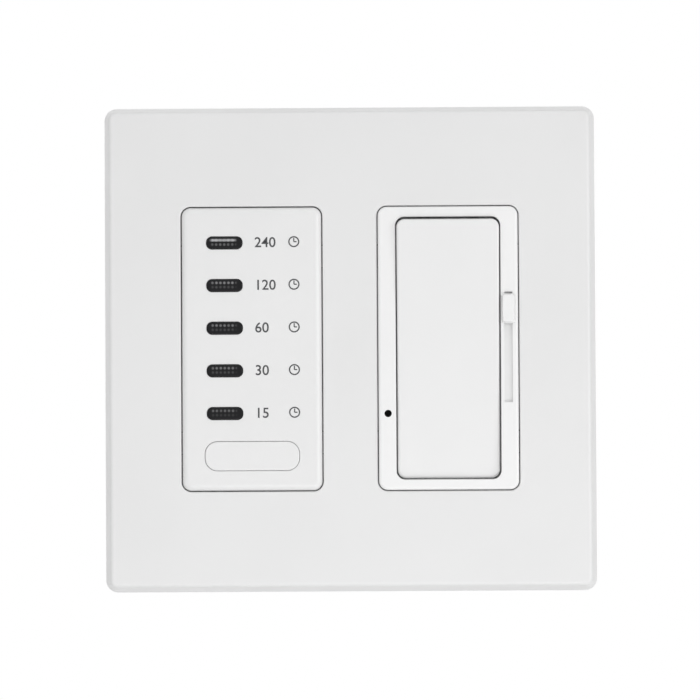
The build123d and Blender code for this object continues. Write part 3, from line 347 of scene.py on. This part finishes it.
def terminal_screw(box):
    outward = 1 if box[0].x + box[1].x > 0 else -1
    length = box[1].x - box[0].x
    shank = threaded(radius=1.72, start=1.8, end=length, thread_length=4.0, pitch=0.7)
    mesh = turned(pan_head(radius=3.3, height=1.8) + shank, steps=28)
    cut_drive(mesh, reach=2.6, width=0.9, depth=0.85, crown=0.9)
    return seated(mesh, box, (outward, 0, 0))


def box_screw(box):
    length = box[1].y - box[0].y
    shank = threaded(radius=1.75, start=1.9, end=length, thread_length=16.5, pitch=0.79)
    mesh = turned(pan_head(radius=3.3, height=1.9) + shank, steps=28)
    cut_drive(mesh, reach=2.6, width=0.9, depth=0.9, crown=0.95)
    return seated(mesh, box, (0, -1, 0))


def plate_screw(box):
    """A screw with a flat head that is sunk into the sub-plate."""
    length = box[1].y - box[0].y
    head_radius, shank_radius, cone_length = 2.8, 1.72, 1.4
    head = [(0, 0), (head_radius - RIM, 0), (head_radius, -RIM), (shank_radius, -cone_length)]
    shank = threaded(radius=shank_radius, start=1.5, end=length, thread_length=7.2, pitch=0.79)
    mesh = turned(head + shank, steps=28)
    cut_drive(mesh, reach=2.2, width=0.8, depth=0.8, crown=0.0)
    return seated(mesh, box, (0, -1, 0))


def ground_screw(box):
    """A hexagon head with a slot, on a threaded shank."""
    radius, height, start = 3.5, 2.0, 1.9
    head = bmesh.new()
    bmesh.ops.create_cone(
        head, cap_ends=True, segments=6, radius1=radius, radius2=radius, depth=height
    )
    bmesh.ops.rotate(head, verts=head.verts, matrix=Matrix.Rotation(pi / 6, 3, "Z"))
    bmesh.ops.translate(head, verts=head.verts, vec=(0, 0, -height / 2))
    top = [edge for edge in head.edges if all(vert.co.z > -5 * WELD for vert in edge.verts)]
    bmesh.ops.bevel(
        head, geom=top, offset=0.35, affect="EDGES", segments=2, profile=0.5, material=-1
    )
    cut_drive(head, reach=2.5, width=0.9, depth=0.9, crown=0.0)
    length = box[1].z - box[0].z
    shank = threaded(radius=1.9, start=start, end=length, thread_length=4.6, pitch=0.79)
    return seated(joined([head, turned([(0, -start)] + shank, steps=24)]), box, (0, 0, -1))


for name, node, make, finish, slot in (
    ("timer_long_screws", "timer_housing_screws", long_screw, zinc, "zinc_steel"),
    ("dimmer_long_screws", "dimmer_housing_screws", long_screw, zinc, "zinc_steel"),
    ("binding_screws", "terminal_screws", terminal_screw, screw_brass, "brass"),
    ("ground_wire_screws", "ground_screws", ground_screw, ground_green, "green_screw"),
    ("wall_box_screws", "box_screws", box_screw, zinc, "zinc_steel"),
    ("flat_head_screws", "sub_plate_screws", plate_screw, zinc, "zinc_steel"),
):
    screws = joined([make(box) for box in solids_of(node)])
    piece(name, screws, finish, "wall_set", slot, node)

# Terminal plates and the rocker's support: half-hard brass strip, stamped and bent. The
# strip's rolling lines run along it, and its face has gone a little brown in places.
strip_brass = Finish("strip_brass", (0.70, 0.49, 0.20), 0.3, metallic=1.0)
strip_brass.tint(strip_brass.noise(3.0, 3.0).step(0.48, 0.8) * 0.7, (0.52, 0.33, 0.13))
strip_brass.sheen(0.4, 0.26, 0.42, (1, 0.08, 1))
strip_brass.relief(strip_brass.noise(0.2, 2.0, (1, 0.05, 1)) * 0.008)
strip_brass.on("timer_terminal_plates", "dimmer_terminal_plates", "rocker_support")

# Circuit boards: glass laminate under a green solder mask, etched copper tracks that show
# through it as paler lines, tinned pads on a 2.54 mm grid, and bare laminate at the edges.
TRACK_PITCH = 2.54
TRACK_HALF_WIDTH = 0.32
PAD_RADIUS = 0.62
HOLE_RADIUS = 0.28
CUT_EDGE = 0.08
BOARD_HALF_HEIGHT = 27.5
CELL_DEPTH = 200


def board_finish(name, x, y, half_width, seed):
    """The finish of a board about x and y. The seed picks the tracks and pads of each side."""
    finish = Finish(name, (0.010, 0.085, 0.036), 0.36)
    middle = (x, y, 0)
    across, _, up = finish.axes(middle)
    spot = finish.place(middle=middle)
    cell_size = (TRACK_PITCH, CELL_DEPTH, TRACK_PITCH)
    cell = finish.node("ShaderNodeVectorMath", {"operation": "SNAP"}, {0: spot, 1: cell_size})
    moved = finish.node("ShaderNodeVectorMath", {"operation": "ADD"}, {0: cell, 1: (seed, 0, seed)})
    chance = finish.node("ShaderNodeTexWhiteNoise", None, {"Vector": moved})
    off_x = (across - TRACK_PITCH / 2).fold(TRACK_PITCH)
    off_z = (up - TRACK_PITCH / 2).fold(TRACK_PITCH)
    off = off_x.hypot(off_z)
    upright = (off_x < TRACK_HALF_WIDTH) * (chance > 0.42)
    level = (off_z < TRACK_HALF_WIDTH) * (chance < 0.38)
    track = upright.math("MAXIMUM", level)
    drilled = chance > 0.55
    pad = (off < PAD_RADIUS) * drilled
    hole_shade = (off < HOLE_RADIUS) * drilled
    side_edge = abs(across) > half_width - CUT_EDGE
    edge = side_edge.math("MAXIMUM", abs(up) > BOARD_HALF_HEIGHT - CUT_EDGE)
    finish.tint(track, (0.022, 0.165, 0.062))
    finish.tint(pad, (0.62, 0.62, 0.60))
    # Painted shade: the drilled holes in the pads are painted darker grey, for the shade inside
    # them.
    finish.tint(hole_shade, (0.30, 0.29, 0.27))
    finish.tint(edge, (0.34, 0.31, 0.15))
    finish.set("Metallic", pad * (1 - edge) * 0.9)
    finish.set("Roughness", edge * 0.3 + pad * -0.06 + 0.36)
    finish.relief(track * 0.03 + pad * 0.05 - hole_shade * 0.05 + edge * finish.noise(0.3) * 0.05)
    return finish


power_mask = board_finish("power_board_mask", x=-GANG_X, y=25, half_width=19.8, seed=3.0)
power_mask.on("power_board")

# Relay: the mains contacts of the timer in a moulded blue case that is glued to its base.
RELAY_SEAM_Y = 22.6
relay_blue = Finish("relay_blue", (0.020, 0.050, 0.20), 0.32)
_, from_seam, _ = relay_blue.axes((0, RELAY_SEAM_Y, 0))
relay_seam = 1 - abs(from_seam).step(0.08, 0.22)
relay_blue.tint(relay_seam * 0.7, (0.008, 0.018, 0.07))
relay_blue.sheen(4.0, 0.28, 0.40)
relay_blue.relief(relay_blue.noise(0.6) * 0.01 - relay_seam * 0.12)
relay_blue.on("timer_relay")

# Film capacitors: the timer's dropper and the dimmer's filter. Wound film potted in a
# yellow moulded box, which is soldered flat to its board.
film_yellow = Finish("film_yellow", (0.66, 0.47, 0.045), 0.36)
film_yellow.tint(film_yellow.noise(3.5, 3.0).step(0.4, 0.8) * 0.5, (0.58, 0.38, 0.03))
film_yellow.sheen(2.0, 0.32, 0.46)
film_yellow.relief(film_yellow.noise(0.5) * 0.012)
film_yellow.on("dropper_capacitor", "filter_capacitor")

# Smoothing capacitors: drawn aluminium cans in a shrunk black sleeve that turns in over
# the rim and leaves the scored end bare. A grey band down the sleeve marks the minus lead.
CANS_X = -GANG_X - 7.5
CANS_FRONT = 11.7
CANS_Z = -16.1
CAN_FROM_MIDDLE = 5.4
BARE_RADIUS = 4.0
LIP = 0.1
LIP_DEPTH = 1.2
BAND_FROM = 3.6
SIGN_PITCH = 2.6
SIGN_HALF_LENGTH = 0.9
SIGN_HALF_WIDTH = 0.25
sleeve = Finish("capacitor_sleeve", (0.014, 0.015, 0.021), 0.25)
across, deep, up = sleeve.axes((CANS_X, CANS_FRONT, CANS_Z))
from_axis = abs(up) - CAN_FROM_MIDDLE
radius = across.hypot(from_axis)
bare = (1 - radius.step(BARE_RADIUS, BARE_RADIUS + LIP)) * (deep < LIP_DEPTH)
minus_band = (across > BAND_FROM) * (1 - bare)
minus_sign = (abs(from_axis) < SIGN_HALF_LENGTH) * (deep.fold(SIGN_PITCH) < SIGN_HALF_WIDTH)
sleeve.tint(minus_band, (0.36, 0.37, 0.38))
sleeve.tint(minus_band * minus_sign, (0.014, 0.015, 0.021))
sleeve.tint(bare, (0.70, 0.70, 0.71))
sleeve.set("Metallic", bare)
sleeve.set("Roughness", bare * 0.12 + sleeve.noise(0.8) * 0.14 + 0.18)
sleeve_lip = radius.step(BARE_RADIUS - LIP, BARE_RADIUS + 2 * LIP)
sleeve.relief(sleeve_lip * 0.08 + sleeve.noise(0.6) * 0.01)
sleeve.on("smoothing_capacitors")

# Varistor: a sintered disc dipped in blue epoxy, which runs a little way down its two
# tinned copper legs.
LEGS_BARE_BEHIND = 22.6
varistor_blue = Finish("varistor_blue", (0.022, 0.075, 0.26), 0.5)
_, down_leg, _ = varistor_blue.axes((0, LEGS_BARE_BEHIND, 0))
bare_leg = (down_leg + varistor_blue.noise(0.8) * 0.5).step(0.2, 0.3)
varistor_blue.tint(varistor_blue.noise(2.0, 3.0).step(0.4, 0.7) * 0.5, (0.016, 0.058, 0.20))
varistor_blue.tint(bare_leg, (0.66, 0.65, 0.62))
varistor_blue.set("Metallic", bare_leg)
varistor_blue.set("Roughness", varistor_blue.noise(1.0) * 0.2 + 0.38 - bare_leg * 0.15)
varistor_blue.relief(varistor_blue.noise(1.1, 3.0) * 0.10)
varistor_blue.on("varistor")

# Pin header: six tinned square pins, pressed through a moulded bar at each board.
HEADER_MIDDLE_Y = 13.2
BARE_PIN_HALF = 8.38
header_finish = Finish("header_bars", (0.020, 0.020, 0.021), 0.42)
_, from_middle, _ = header_finish.axes((0, HEADER_MIDDLE_Y, 0))
pin_share = abs(from_middle) < BARE_PIN_HALF
header_finish.tint(pin_share, (0.70, 0.67, 0.58))
header_finish.set("Metallic", pin_share)
header_finish.set("Roughness", header_finish.noise(0.7) * 0.12 + 0.40 - pin_share * 0.18)
header_finish.relief(header_finish.noise(0.3) * 0.012)
header_finish.on("board_header")

# Control board: it is staked to the posts of the timer's face, with the key switches, the
# light-emitting chips and the controller soldered to its front.
control_mask = board_finish("control_board_mask", x=-GANG_X, y=1.4, half_width=14.0, seed=9.0)
control_mask.on("control_board")

# Controller chip: black epoxy with a dimple at its first pin and tinned gull-wing legs.
CHIP_X = -GANG_X + 7.0
CHIP_Z = 5.0
CHIP_HALF_WIDTH = 2.62
DIMPLE_FROM_MIDDLE = (-1.7, 3.3)
DIMPLE_RADIUS = 0.4
chip_black = Finish("chip_black", (0.017, 0.017, 0.018), 0.55)
across, _, up = chip_black.axes((CHIP_X, 0, CHIP_Z))
leg = abs(across) > CHIP_HALF_WIDTH
dimple_x = across - DIMPLE_FROM_MIDDLE[0]
dimple_z = up - DIMPLE_FROM_MIDDLE[1]
dimple = dimple_x.hypot(dimple_z) < DIMPLE_RADIUS
chip_black.tint(leg, (0.68, 0.67, 0.64))
chip_black.set("Metallic", leg)
chip_black.set("Roughness", chip_black.noise(0.4) * 0.15 + 0.48 - leg * 0.22)
chip_black.relief(chip_black.noise(0.15) * 0.012 - dimple * 0.08)
chip_black.on("controller_chip")

# Push switches: black bodies under a tinned steel cover that is snapped on from the front,
# and the round plungers that the keys' stems rest on.
STEEL_BEFORE = -2.35
switch_black = Finish("switch_black", (0.022, 0.022, 0.024), 0.40)
_, deep, _ = switch_black.axes()
cover = deep < STEEL_BEFORE
switch_black.tint(cover, (0.66, 0.66, 0.65))
switch_black.set("Metallic", cover)
switch_black.set("Roughness", switch_black.noise(0.6) * 0.14 + 0.34 - cover * 0.04)
switch_black.relief(switch_black.noise(0.3) * 0.012)
switch_black.on("timer_push_switches")

MINUTES = (240, 120, 60, 30, 15)
plunger_black = Finish("plunger_black", (0.024, 0.024, 0.025), 0.34)
plunger_black.sheen(0.8, 0.28, 0.42)
plunger_black.relief(plunger_black.noise(0.4) * 0.01)
plunger_black.on("on_off_plunger", "slide_pot_lever", *[f"time_plunger_{time}" for time in MINUTES])

# Light-emitting chips behind the keys and the pinhole: clear epoxy moulded over a pale
# phosphor, in blocks that are soldered flat to their boards.
led_epoxy = Finish("led_epoxy", (0.78, 0.78, 0.66), 0.16, coat_weight=0.4, coat_roughness=0.1)
led_epoxy.tint(led_epoxy.noise(0.5).step(0.4, 0.7) * 0.6, (0.72, 0.66, 0.34))
led_epoxy.relief(led_epoxy.noise(0.4) * 0.008)
led_epoxy.on("timer_key_leds", "locator_led")

# Timer strap: the yoke that carries the timer in the wall box. Steel sheet, stamped, bent
# and zinc plated, with the rolling lines along its length.
strap_zinc = Finish("strap_zinc", (0.55, 0.55, 0.54), 0.36, metallic=1.0)
strap_zinc.tint(strap_zinc.noise(5.0, 4.0).step(0.4, 0.72) * 0.8, (0.47, 0.475, 0.48))
strap_zinc.tint(strap_zinc.noise(11.0).step(0.55, 0.8) * 0.25, (0.56, 0.53, 0.44))
strap_zinc.sheen(0.5, 0.32, 0.50, (1, 1, 0.06))
strap_zinc.relief(strap_zinc.noise(0.3, 3.0, (1, 1, 0.1)) * 0.014)
strap_zinc.on("timer_strap")

# Dimmer strap: the same yoke in aluminium, because it also cools the triac. Brushed along
# its length, then clear anodised.
strap_aluminium = Finish("strap_aluminium", (0.62, 0.62, 0.63), 0.34, metallic=1.0)
brushing = strap_aluminium.noise(0.5, 2.0, (1, 1, 0.02)).step(0.35, 0.75)
strap_aluminium.tint(brushing, (0.53, 0.535, 0.55))
strap_aluminium.sheen(0.35, 0.30, 0.44, (1, 1, 0.02))
strap_aluminium.relief(strap_aluminium.noise(0.12, 2.0, (1, 1, 0.01)) * 0.012)
strap_aluminium.on("dimmer_strap", "triac_rivet")

# Timer face: the white front moulding with a window for each key. Its skin is smoother
# than the cover plate's, and a little light sinks into it.


def white_plastic(name, white, roughness, grain, depth, cream=0.0):
    """Moulded white plastic: a white with less blue if it is creamy, and a fine skin."""
    color = (white, white, white - cream)
    finish = Finish(name, color, roughness, subsurface_weight=0.25, subsurface_scale=0.4 * MM)
    finish.set("Subsurface Radius", (1.0, 1.0, 1.0))
    cloud = tuple(value * 0.985 for value in color)
    finish.tint(finish.noise(28.0).step(0.35, 0.7), cloud)
    finish.sheen(14.0, roughness - 0.02, roughness + 0.03)
    finish.relief(finish.noise(grain, 3.0) * depth)
    return finish


face_white = white_plastic("face_white", 0.82, 0.32, grain=0.45, depth=0.004)
face_white.on("timer_face", "on_off_key")

# Printed times: plain numbers of minutes, pad printed in dark grey ink beside the keys,
# each with a small clock dial at the end of its line.
KEY_Z = (24.9, 14.9, 4.9, -5.1, -15.1)
INK_THICKNESS = 0.012
INK_MIDDLE = -7.312
LABEL_RISE = 0.2
NUMBER_X = -GANG_X + 0.7
NUMBER_HEIGHT = 2.45
NUMBER_SWELL = 0.03
DIGIT_SHARE = 0.729
DIAL_X = -GANG_X + 9.95
DIAL_RADIUS = 1.3
DIAL_LINE = 0.3
HAND_WIDTH = 0.26
MINUTE_HAND_SHARE = 0.68
HOUR_HAND_SHARE = 0.5
ink = Finish("print_ink", (0.055, 0.056, 0.060), 0.55)
ink.tint(ink.noise(0.25).step(0.5, 0.8) * 0.4, (0.085, 0.086, 0.090))
ink.sheen(0.6, 0.48, 0.62)


def printed(text, middle_z):
    """A number in ink, at a height on the face."""
    curve = bpy.data.curves.new("number", "FONT")
    curve.body = text
    curve.size = NUMBER_HEIGHT / DIGIT_SHARE
    curve.resolution_u = 4
    curve.offset = NUMBER_SWELL
    curve.extrude = INK_THICKNESS / 2
    holder = bpy.data.objects.new("number", curve)
    bpy.context.collection.objects.link(holder)
    bpy.context.view_layer.update()
    data = bpy.data.meshes.new_from_object(holder)
    mesh = bmesh.new()
    mesh.from_mesh(data)
    bpy.data.objects.remove(holder)
    bpy.data.curves.remove(curve)
    bpy.data.meshes.remove(data)
    bmesh.ops.remove_doubles(mesh, verts=mesh.verts, dist=WELD)
    bmesh.ops.recalc_face_normals(mesh, faces=mesh.faces)
    bmesh.ops.rotate(mesh, verts=mesh.verts, matrix=Matrix.Rotation(pi / 2, 3, "X"))
    spot = (NUMBER_X, INK_MIDDLE, middle_z - NUMBER_HEIGHT / 2)
    bmesh.ops.translate(mesh, verts=mesh.verts, vec=spot)
    return mesh


def hand(middle, length, turn):
    """A dial's hand: a flat bar of ink that points away from the middle."""
    bar = bmesh.new()
    bmesh.ops.create_cube(bar, size=1.0)
    bmesh.ops.scale(bar, verts=bar.verts, vec=(HAND_WIDTH, INK_THICKNESS, length))
    bmesh.ops.translate(bar, verts=bar.verts, vec=(0, 0, length / 2))
    bmesh.ops.rotate(bar, verts=bar.verts, matrix=Matrix.Rotation(turn, 3, "Y"))
    bmesh.ops.translate(bar, verts=bar.verts, vec=middle)
    return bar


def dial(middle_z):
    """A clock dial: a ring and two hands."""
    front, back = INK_MIDDLE - INK_THICKNESS / 2, INK_MIDDLE + INK_THICKNESS / 2
    outer, inner = DIAL_RADIUS, DIAL_RADIUS - DIAL_LINE
    ring = bmesh.new()
    section = ((inner, front), (outer, front), (outer, back), (inner, back))
    corners = [ring.verts.new((reach, y, 0)) for reach, y in section]
    for pair in zip(corners, corners[1:] + corners[:1]):
        ring.edges.new(pair)
    bmesh.ops.spin(
        ring, geom=ring.verts[:] + ring.edges[:], angle=tau, steps=28, use_merge=True,
        axis=(0, 1, 0), cent=(0, 0, 0)
    )
    bmesh.ops.remove_doubles(ring, verts=ring.verts, dist=WELD)
    bmesh.ops.recalc_face_normals(ring, faces=ring.faces)
    bmesh.ops.translate(ring, verts=ring.verts, vec=(DIAL_X, 0, middle_z))
    middle = (DIAL_X, INK_MIDDLE, middle_z)
    minute_hand = hand(middle, DIAL_RADIUS * MINUTE_HAND_SHARE, 0.0)
    hour_hand = hand(middle, DIAL_RADIUS * HOUR_HAND_SHARE, pi / 2)
    return [ring, minute_hand, hour_hand]


prints = []
for minutes, z in zip(MINUTES, KEY_Z):
    prints.append(printed(str(minutes), z + LABEL_RISE))
    prints += dial(z + LABEL_RISE)
piece("printed_times", joined(prints), ink, "wall_set", "black_moulding")

# Time keys: smoked plastic caps over a grid of tiny light wells that show as rows of grey
# dots. A painted reflection makes the wells paler, most on the upper rows and the top key.
KEYS_X = -GANG_X - 6.35
KEY_FRONTS_BEFORE = -7.0
WELL_PITCH_X = 0.94
WELL_PITCH_Z = 1.02
LOWER_ROW_Z = -0.40
WELLS_X = -0.3
WELLS_Z = 0.1
WELLS_HALF_HEIGHT = 0.95
LOWER_ROW_SHARE = 0.28


def key_finish(minutes, middle_z, well_grey_and_reflection, merged_reflection):
    """Smoked plastic over light wells; a painted reflection pales their upper row and can merge it
    into one line.
    """
    finish = Finish(f"smoked_{minutes}", (0.006, 0.006, 0.007), 0.14, specular_ior_level=0.2)
    across, deep, up = finish.axes((KEYS_X, 0, middle_z))
    # Painted reflection: the upper row of wells is painted paler, and on some keys its dots run
    # together into one pale line.
    reflected_row = up.step(-0.2, 0.4)
    off_x = across.fold(WELL_PITCH_X) * (1 - reflected_row * merged_reflection)
    off_z = (up - LOWER_ROW_Z).fold(WELL_PITCH_Z)
    dots = 1 - off_x.hypot(off_z).step(0.12, 0.44)
    inside = (1 - abs(across - WELLS_X).step(2.3, 3.4)) * (abs(up - WELLS_Z) < WELLS_HALF_HEIGHT)
    uneven = finish.noise(1.3).step(0.3, 0.7) * 0.4 + 0.6
    row_reflection = reflected_row * (1 - LOWER_ROW_SHARE) + LOWER_ROW_SHARE
    wells_and_reflection = dots * inside * row_reflection * uneven * (deep < KEY_FRONTS_BEFORE)
    finish.tint(wells_and_reflection, (well_grey_and_reflection, well_grey_and_reflection, well_grey_and_reflection * 1.02))
    finish.sheen(2.0, 0.12, 0.18)
    finish.relief(finish.noise(1.4) * 0.006)
    return finish


# Each key's wells are painted paler as a reflection, most on the top key, whose upper row is one
# merged line of painted reflection.
for minutes, z, well_grey_and_reflection in zip(MINUTES, KEY_Z, (0.45, 0.26, 0.20, 0.20, 0.13)):
    merged_reflection = 0.6 if minutes == 240 else 0.0
    key_finish(minutes, z, well_grey_and_reflection, merged_reflection).on(f"time_key_{minutes}")

# Dimmer board: it carries the slide potentiometer in front and the choke behind.
dimmer_mask = board_finish("dimmer_board_mask", x=GANG_X, y=7.8, half_width=19.8, seed=14.0)
dimmer_mask.on("dimmer_board")

# Triac: the dimmer's power switch, black epoxy moulded on a tinned copper tab.
TAB_FROM_X = GANG_X - 3.42
triac_black = Finish("triac_black", (0.018, 0.018, 0.019), 0.5)
along_tab, _, _ = triac_black.axes((TAB_FROM_X, 0, 0))
tab = along_tab > 0.0
triac_black.tint(tab, (0.64, 0.62, 0.59))
triac_black.set("Metallic", tab)
triac_black.set("Roughness", triac_black.noise(0.7) * 0.16 + 0.44 - tab * 0.14)
triac_black.relief(triac_black.noise(0.2) * 0.014)
triac_black.on("triac")

# Choke core: a spool pressed and sintered from ferrite powder, dull and slightly pitted.
ferrite = Finish("ferrite", (0.055, 0.054, 0.056), 0.62)
ferrite.tint(ferrite.noise(0.5, 4.0).step(0.5, 0.7) * 0.6, (0.035, 0.034, 0.036))
ferrite.sheen(1.0, 0.55, 0.72)
ferrite.relief(ferrite.noise(0.35, 4.0) * 0.03)
ferrite.on("choke_core")

# Choke winding: two layers of enamelled copper wire, wound tight on the core. Each layer
# is one wire swept round the spool, and it ends where it turns into the next.
WIRE_RADIUS = 0.46
WINDING_RADIUS = 5.9
LAYER_SHARE = 1.75
TURNS = 9
TURN_STEPS = 32
FLANGE_GAP = 0.05
enamel = Finish("copper_enamel", (0.62, 0.22, 0.075), 0.2, metallic=1.0, coat_weight=0.7)
enamel.tint(enamel.noise(1.6, 2.0).step(0.4, 0.75) * 0.7, (0.47, 0.14, 0.045))
enamel.sheen(0.8, 0.17, 0.30)
enamel.relief(enamel.noise(0.5) * 0.01)


def wound(layer_radius, rise):
    """A wire that winds up round an upright axis, with both of its ends closed."""
    wire = bmesh.new()
    bmesh.ops.create_circle(wire, cap_ends=True, segments=8, radius=WIRE_RADIUS)
    bmesh.ops.rotate(wire, verts=wire.verts, matrix=Matrix.Rotation(pi / 2, 3, "X"))
    bmesh.ops.translate(wire, verts=wire.verts, vec=(layer_radius, 0, 0))
    start = bmesh.ops.duplicate(wire, geom=wire.verts[:] + wire.edges[:] + wire.faces[:])["geom"]
    bmesh.ops.spin(
        wire, geom=start, angle=tau * TURNS, steps=TURN_STEPS * TURNS, use_merge=False,
        axis=(0, 0, 1), cent=(0, 0, 0), dvec=(0, 0, rise / TURN_STEPS)
    )
    bmesh.ops.remove_doubles(wire, verts=wire.verts, dist=WELD)
    bmesh.ops.recalc_face_normals(wire, faces=wire.faces)
    return wire


low, high = solids_of("choke_winding")[0]
rise = (high.y - low.y - 2 * WIRE_RADIUS - 2 * FLANGE_GAP) / TURNS
layers = []
for sunk in (WIRE_RADIUS, WIRE_RADIUS + LAYER_SHARE * WIRE_RADIUS):
    layer = wound(WINDING_RADIUS - sunk, rise)
    bmesh.ops.translate(layer, verts=layer.verts, vec=(0, 0, WIRE_RADIUS + FLANGE_GAP))
    layers.append(layer)
winding = joined(layers)
stand = Matrix.Translation(((low.x + high.x) / 2, low.y, (low.z + high.z) / 2))
bmesh.ops.transform(winding, matrix=stand @ Matrix.Rotation(-pi / 2, 4, "X"), verts=winding.verts)
piece("choke_wire", winding, enamel, "wall_set", "copper", "choke_winding")

# Slide potentiometer: a folded case of tinned steel, with the wiper's flat black lever.
tinned = Finish("tinned_case", (0.52, 0.525, 0.53), 0.34, metallic=1.0)
tinned.tint(tinned.noise(2.2, 3.0).step(0.4, 0.75), (0.44, 0.445, 0.46))
tinned.sheen(0.7, 0.28, 0.44, (1, 1, 0.2))
tinned.relief(tinned.noise(0.4, 2.0, (1, 1, 0.3)) * 0.012)
tinned.on("slide_pot")

# Switch works: a base moulded in unpainted creamy plastic, a copper see-saw on its brass
# support, silver contacts, and the plunger and spring that snap the see-saw over.
inner_white = white_plastic("inner_white", 0.78, 0.46, grain=0.55, depth=0.012, cream=0.015)
inner_white.on("switch_base")

rocker_copper = Finish("rocker_copper", (0.68, 0.30, 0.14), 0.3, metallic=1.0)
rocker_copper.tint(rocker_copper.noise(1.8, 3.0).step(0.45, 0.75), (0.50, 0.20, 0.09))
rocker_copper.sheen(0.4, 0.26, 0.40, (1, 1, 0.1))
rocker_copper.relief(rocker_copper.noise(0.25, 2.0, (1, 1, 0.1)) * 0.008)
rocker_copper.on("contact_rocker")
plated("contact_silver", (0.80, 0.79, 0.76), 0.22, 0.36).on("rocker_contact", "fixed_contact")
plated("plunger_zinc", (0.58, 0.58, 0.57), 0.24, 0.36).on("switch_plunger")

wire_steel = Finish("wire_steel", (0.42, 0.42, 0.43), 0.26, metallic=1.0)
wire_steel.tint(wire_steel.noise(0.7, 2.0).step(0.4, 0.7), (0.33, 0.33, 0.345))
wire_steel.sheen(0.5, 0.20, 0.34)
wire_steel.relief(wire_steel.noise(0.12) * 0.003)
wire_steel.on("plunger_spring")

# Dimmer bezel, paddle and slide knob: glossier white than the plate. The knob's front is
# hollow for a fingertip, and the paddle leans out at its top.
bezel_white = white_plastic("bezel_white", 0.88, 0.30, grain=0.45, depth=0.004)
bezel_white.on("dimmer_bezel", "slide_knob")
paddle_white = white_plastic("paddle_white", 0.84, 0.30, grain=0.45, depth=0.004)
paddle_white.on("dimmer_paddle")

# Shutter strip: thin white film that closes the slot behind the knob's stem.
strip_white = white_plastic("strip_white", 0.84, 0.40, grain=0.30, depth=0.003)
strip_white.on("shutter_strip")

# Light pipe: a smoked acrylic rod, black while its light is off.
pipe_smoke = Finish("pipe_smoke", (0.002, 0.002, 0.002), 0.12, specular_ior_level=0.03)
pipe_smoke.tint(pipe_smoke.noise(0.8).step(0.4, 0.8) * 0.5, (0.005, 0.005, 0.006))
pipe_smoke.sheen(0.6, 0.08, 0.16)
pipe_smoke.on("light_pipe")

# Sub-plate: a frame of the same creamy plastic as the switch's base. It is screwed to
# both straps, and its rim holds the cover plate.
inner_white.on("sub_plate")

# Cover plate: one shell of white plastic with a satin skin from a finely sparked mould.
# It snaps onto the sub-plate, so no screw shows.
cover_white = white_plastic("cover_white", 0.80, 0.36, grain=0.40, depth=0.006)
cover_white.on("cover_plate")

# Studio: a sheet of white paper below and white all round, lit softly from both sides with
# the right side stronger. The paper keeps the set's shadow, and what mirrors it sees white.
FLOOR_Z = -0.30
FLOOR_SIZE = 3.0
AMBIENT = 0.585
bpy.context.scene.view_settings.view_transform = "Standard"


def paper(name, light):
    """White paper, a little brighter to the camera and in mirrors than the lamps make it."""
    finish = Finish(name, (0.86, 0.86, 0.86), 0.9)
    finish.tint(finish.noise(900.0).step(0.3, 0.7), (0.85, 0.85, 0.85))
    seen, mirrored, through = [
        finish.node("ShaderNodeLightPath", out=f"Is {kind} Ray")
        for kind in ("Camera", "Glossy", "Transmission")
    ]
    finish.set("Emission Color", seen.math("MAXIMUM", mirrored).math("MAXIMUM", through) * light)
    finish.set("Emission Strength", 1.0)
    return finish


sheet = bmesh.new()
bmesh.ops.create_grid(sheet, x_segments=1, y_segments=1, size=FLOOR_SIZE)
bmesh.ops.translate(sheet, verts=sheet.verts, vec=(0, 0, FLOOR_Z))
floor_mesh = bpy.data.meshes.new("floor")
sheet.to_mesh(floor_mesh)
sheet.free()
floor = bpy.data.objects.new("floor", floor_mesh)
bpy.context.collection.objects.link(floor)
floor_mesh.materials.append(paper("floor_paper", 0.42).material)

world = bpy.data.worlds.new("studio")
bpy.context.scene.world = world
world.use_nodes = True
sky = world.node_tree
ray = sky.nodes.new("ShaderNodeLightPath")
seen = ray.outputs["Is Camera Ray"]
for kind in ("Glossy", "Transmission"):
    either = sky.nodes.new("ShaderNodeMath")
    either.operation = "MAXIMUM"
    sky.links.new(seen, either.inputs[0])
    sky.links.new(ray.outputs[f"Is {kind} Ray"], either.inputs[1])
    seen = either.outputs[0]
strength = sky.nodes.new("ShaderNodeMapRange")
strength.inputs["To Min"].default_value = AMBIENT
strength.inputs["To Max"].default_value = 1.0
sky.links.new(seen, strength.inputs["Value"])
background = sky.nodes["Background"]
background.inputs["Color"].default_value = (1, 1, 1, 1)
sky.links.new(strength.outputs["Result"], background.inputs["Strength"])


def lamp(name, place, size, watts):
    """A square softbox that faces the middle of the set."""
    data = bpy.data.lights.new(name, "AREA")
    data.size = size
    data.energy = watts
    box = bpy.data.objects.new(name, data)
    bpy.context.collection.objects.link(box)
    turn = (-Vector(place)).to_track_quat("-Z", "Y").to_matrix().to_4x4()
    box.matrix_world = Matrix.Translation(place) @ turn


lamp("right_softbox", place=(0.86, -0.79, 0.05), size=0.5, watts=2.65)
lamp("left_softbox", place=(-0.9, -0.9, 0.45), size=0.6, watts=1.6)
lamp("low_softbox", place=(0.05, -0.30, -0.27), size=0.25, watts=0.5)
lamp("top_softbox", place=(0.0, -0.45, 0.9), size=0.5, watts=1.15)

# Camera: square on from 0.85 m through a long lens, and a hair off level as in the photo.
CAMERA_PLACE = (0.005917, -0.850, -0.021688)
CAMERA_PAN = radians(0.404)
CAMERA_TILT = radians(1.448)
CAMERA_ROLL = radians(0.319)
camera_data = bpy.data.cameras.new("camera")
camera_data.lens = 185.07
camera_data.sensor_width = 36.0
camera_data.clip_end = 20.0
camera = bpy.data.objects.new("camera", camera_data)
bpy.context.collection.objects.link(camera)
camera.matrix_world = (
    Matrix.Translation(CAMERA_PLACE)
    @ Matrix.Rotation(CAMERA_PAN, 4, "Z")
    @ Matrix.Rotation(CAMERA_TILT, 4, "X")
    @ Matrix.Rotation(CAMERA_ROLL, 4, "Y")
    @ Matrix.Rotation(pi / 2, 4, "X")
)
bpy.context.scene.camera = camera
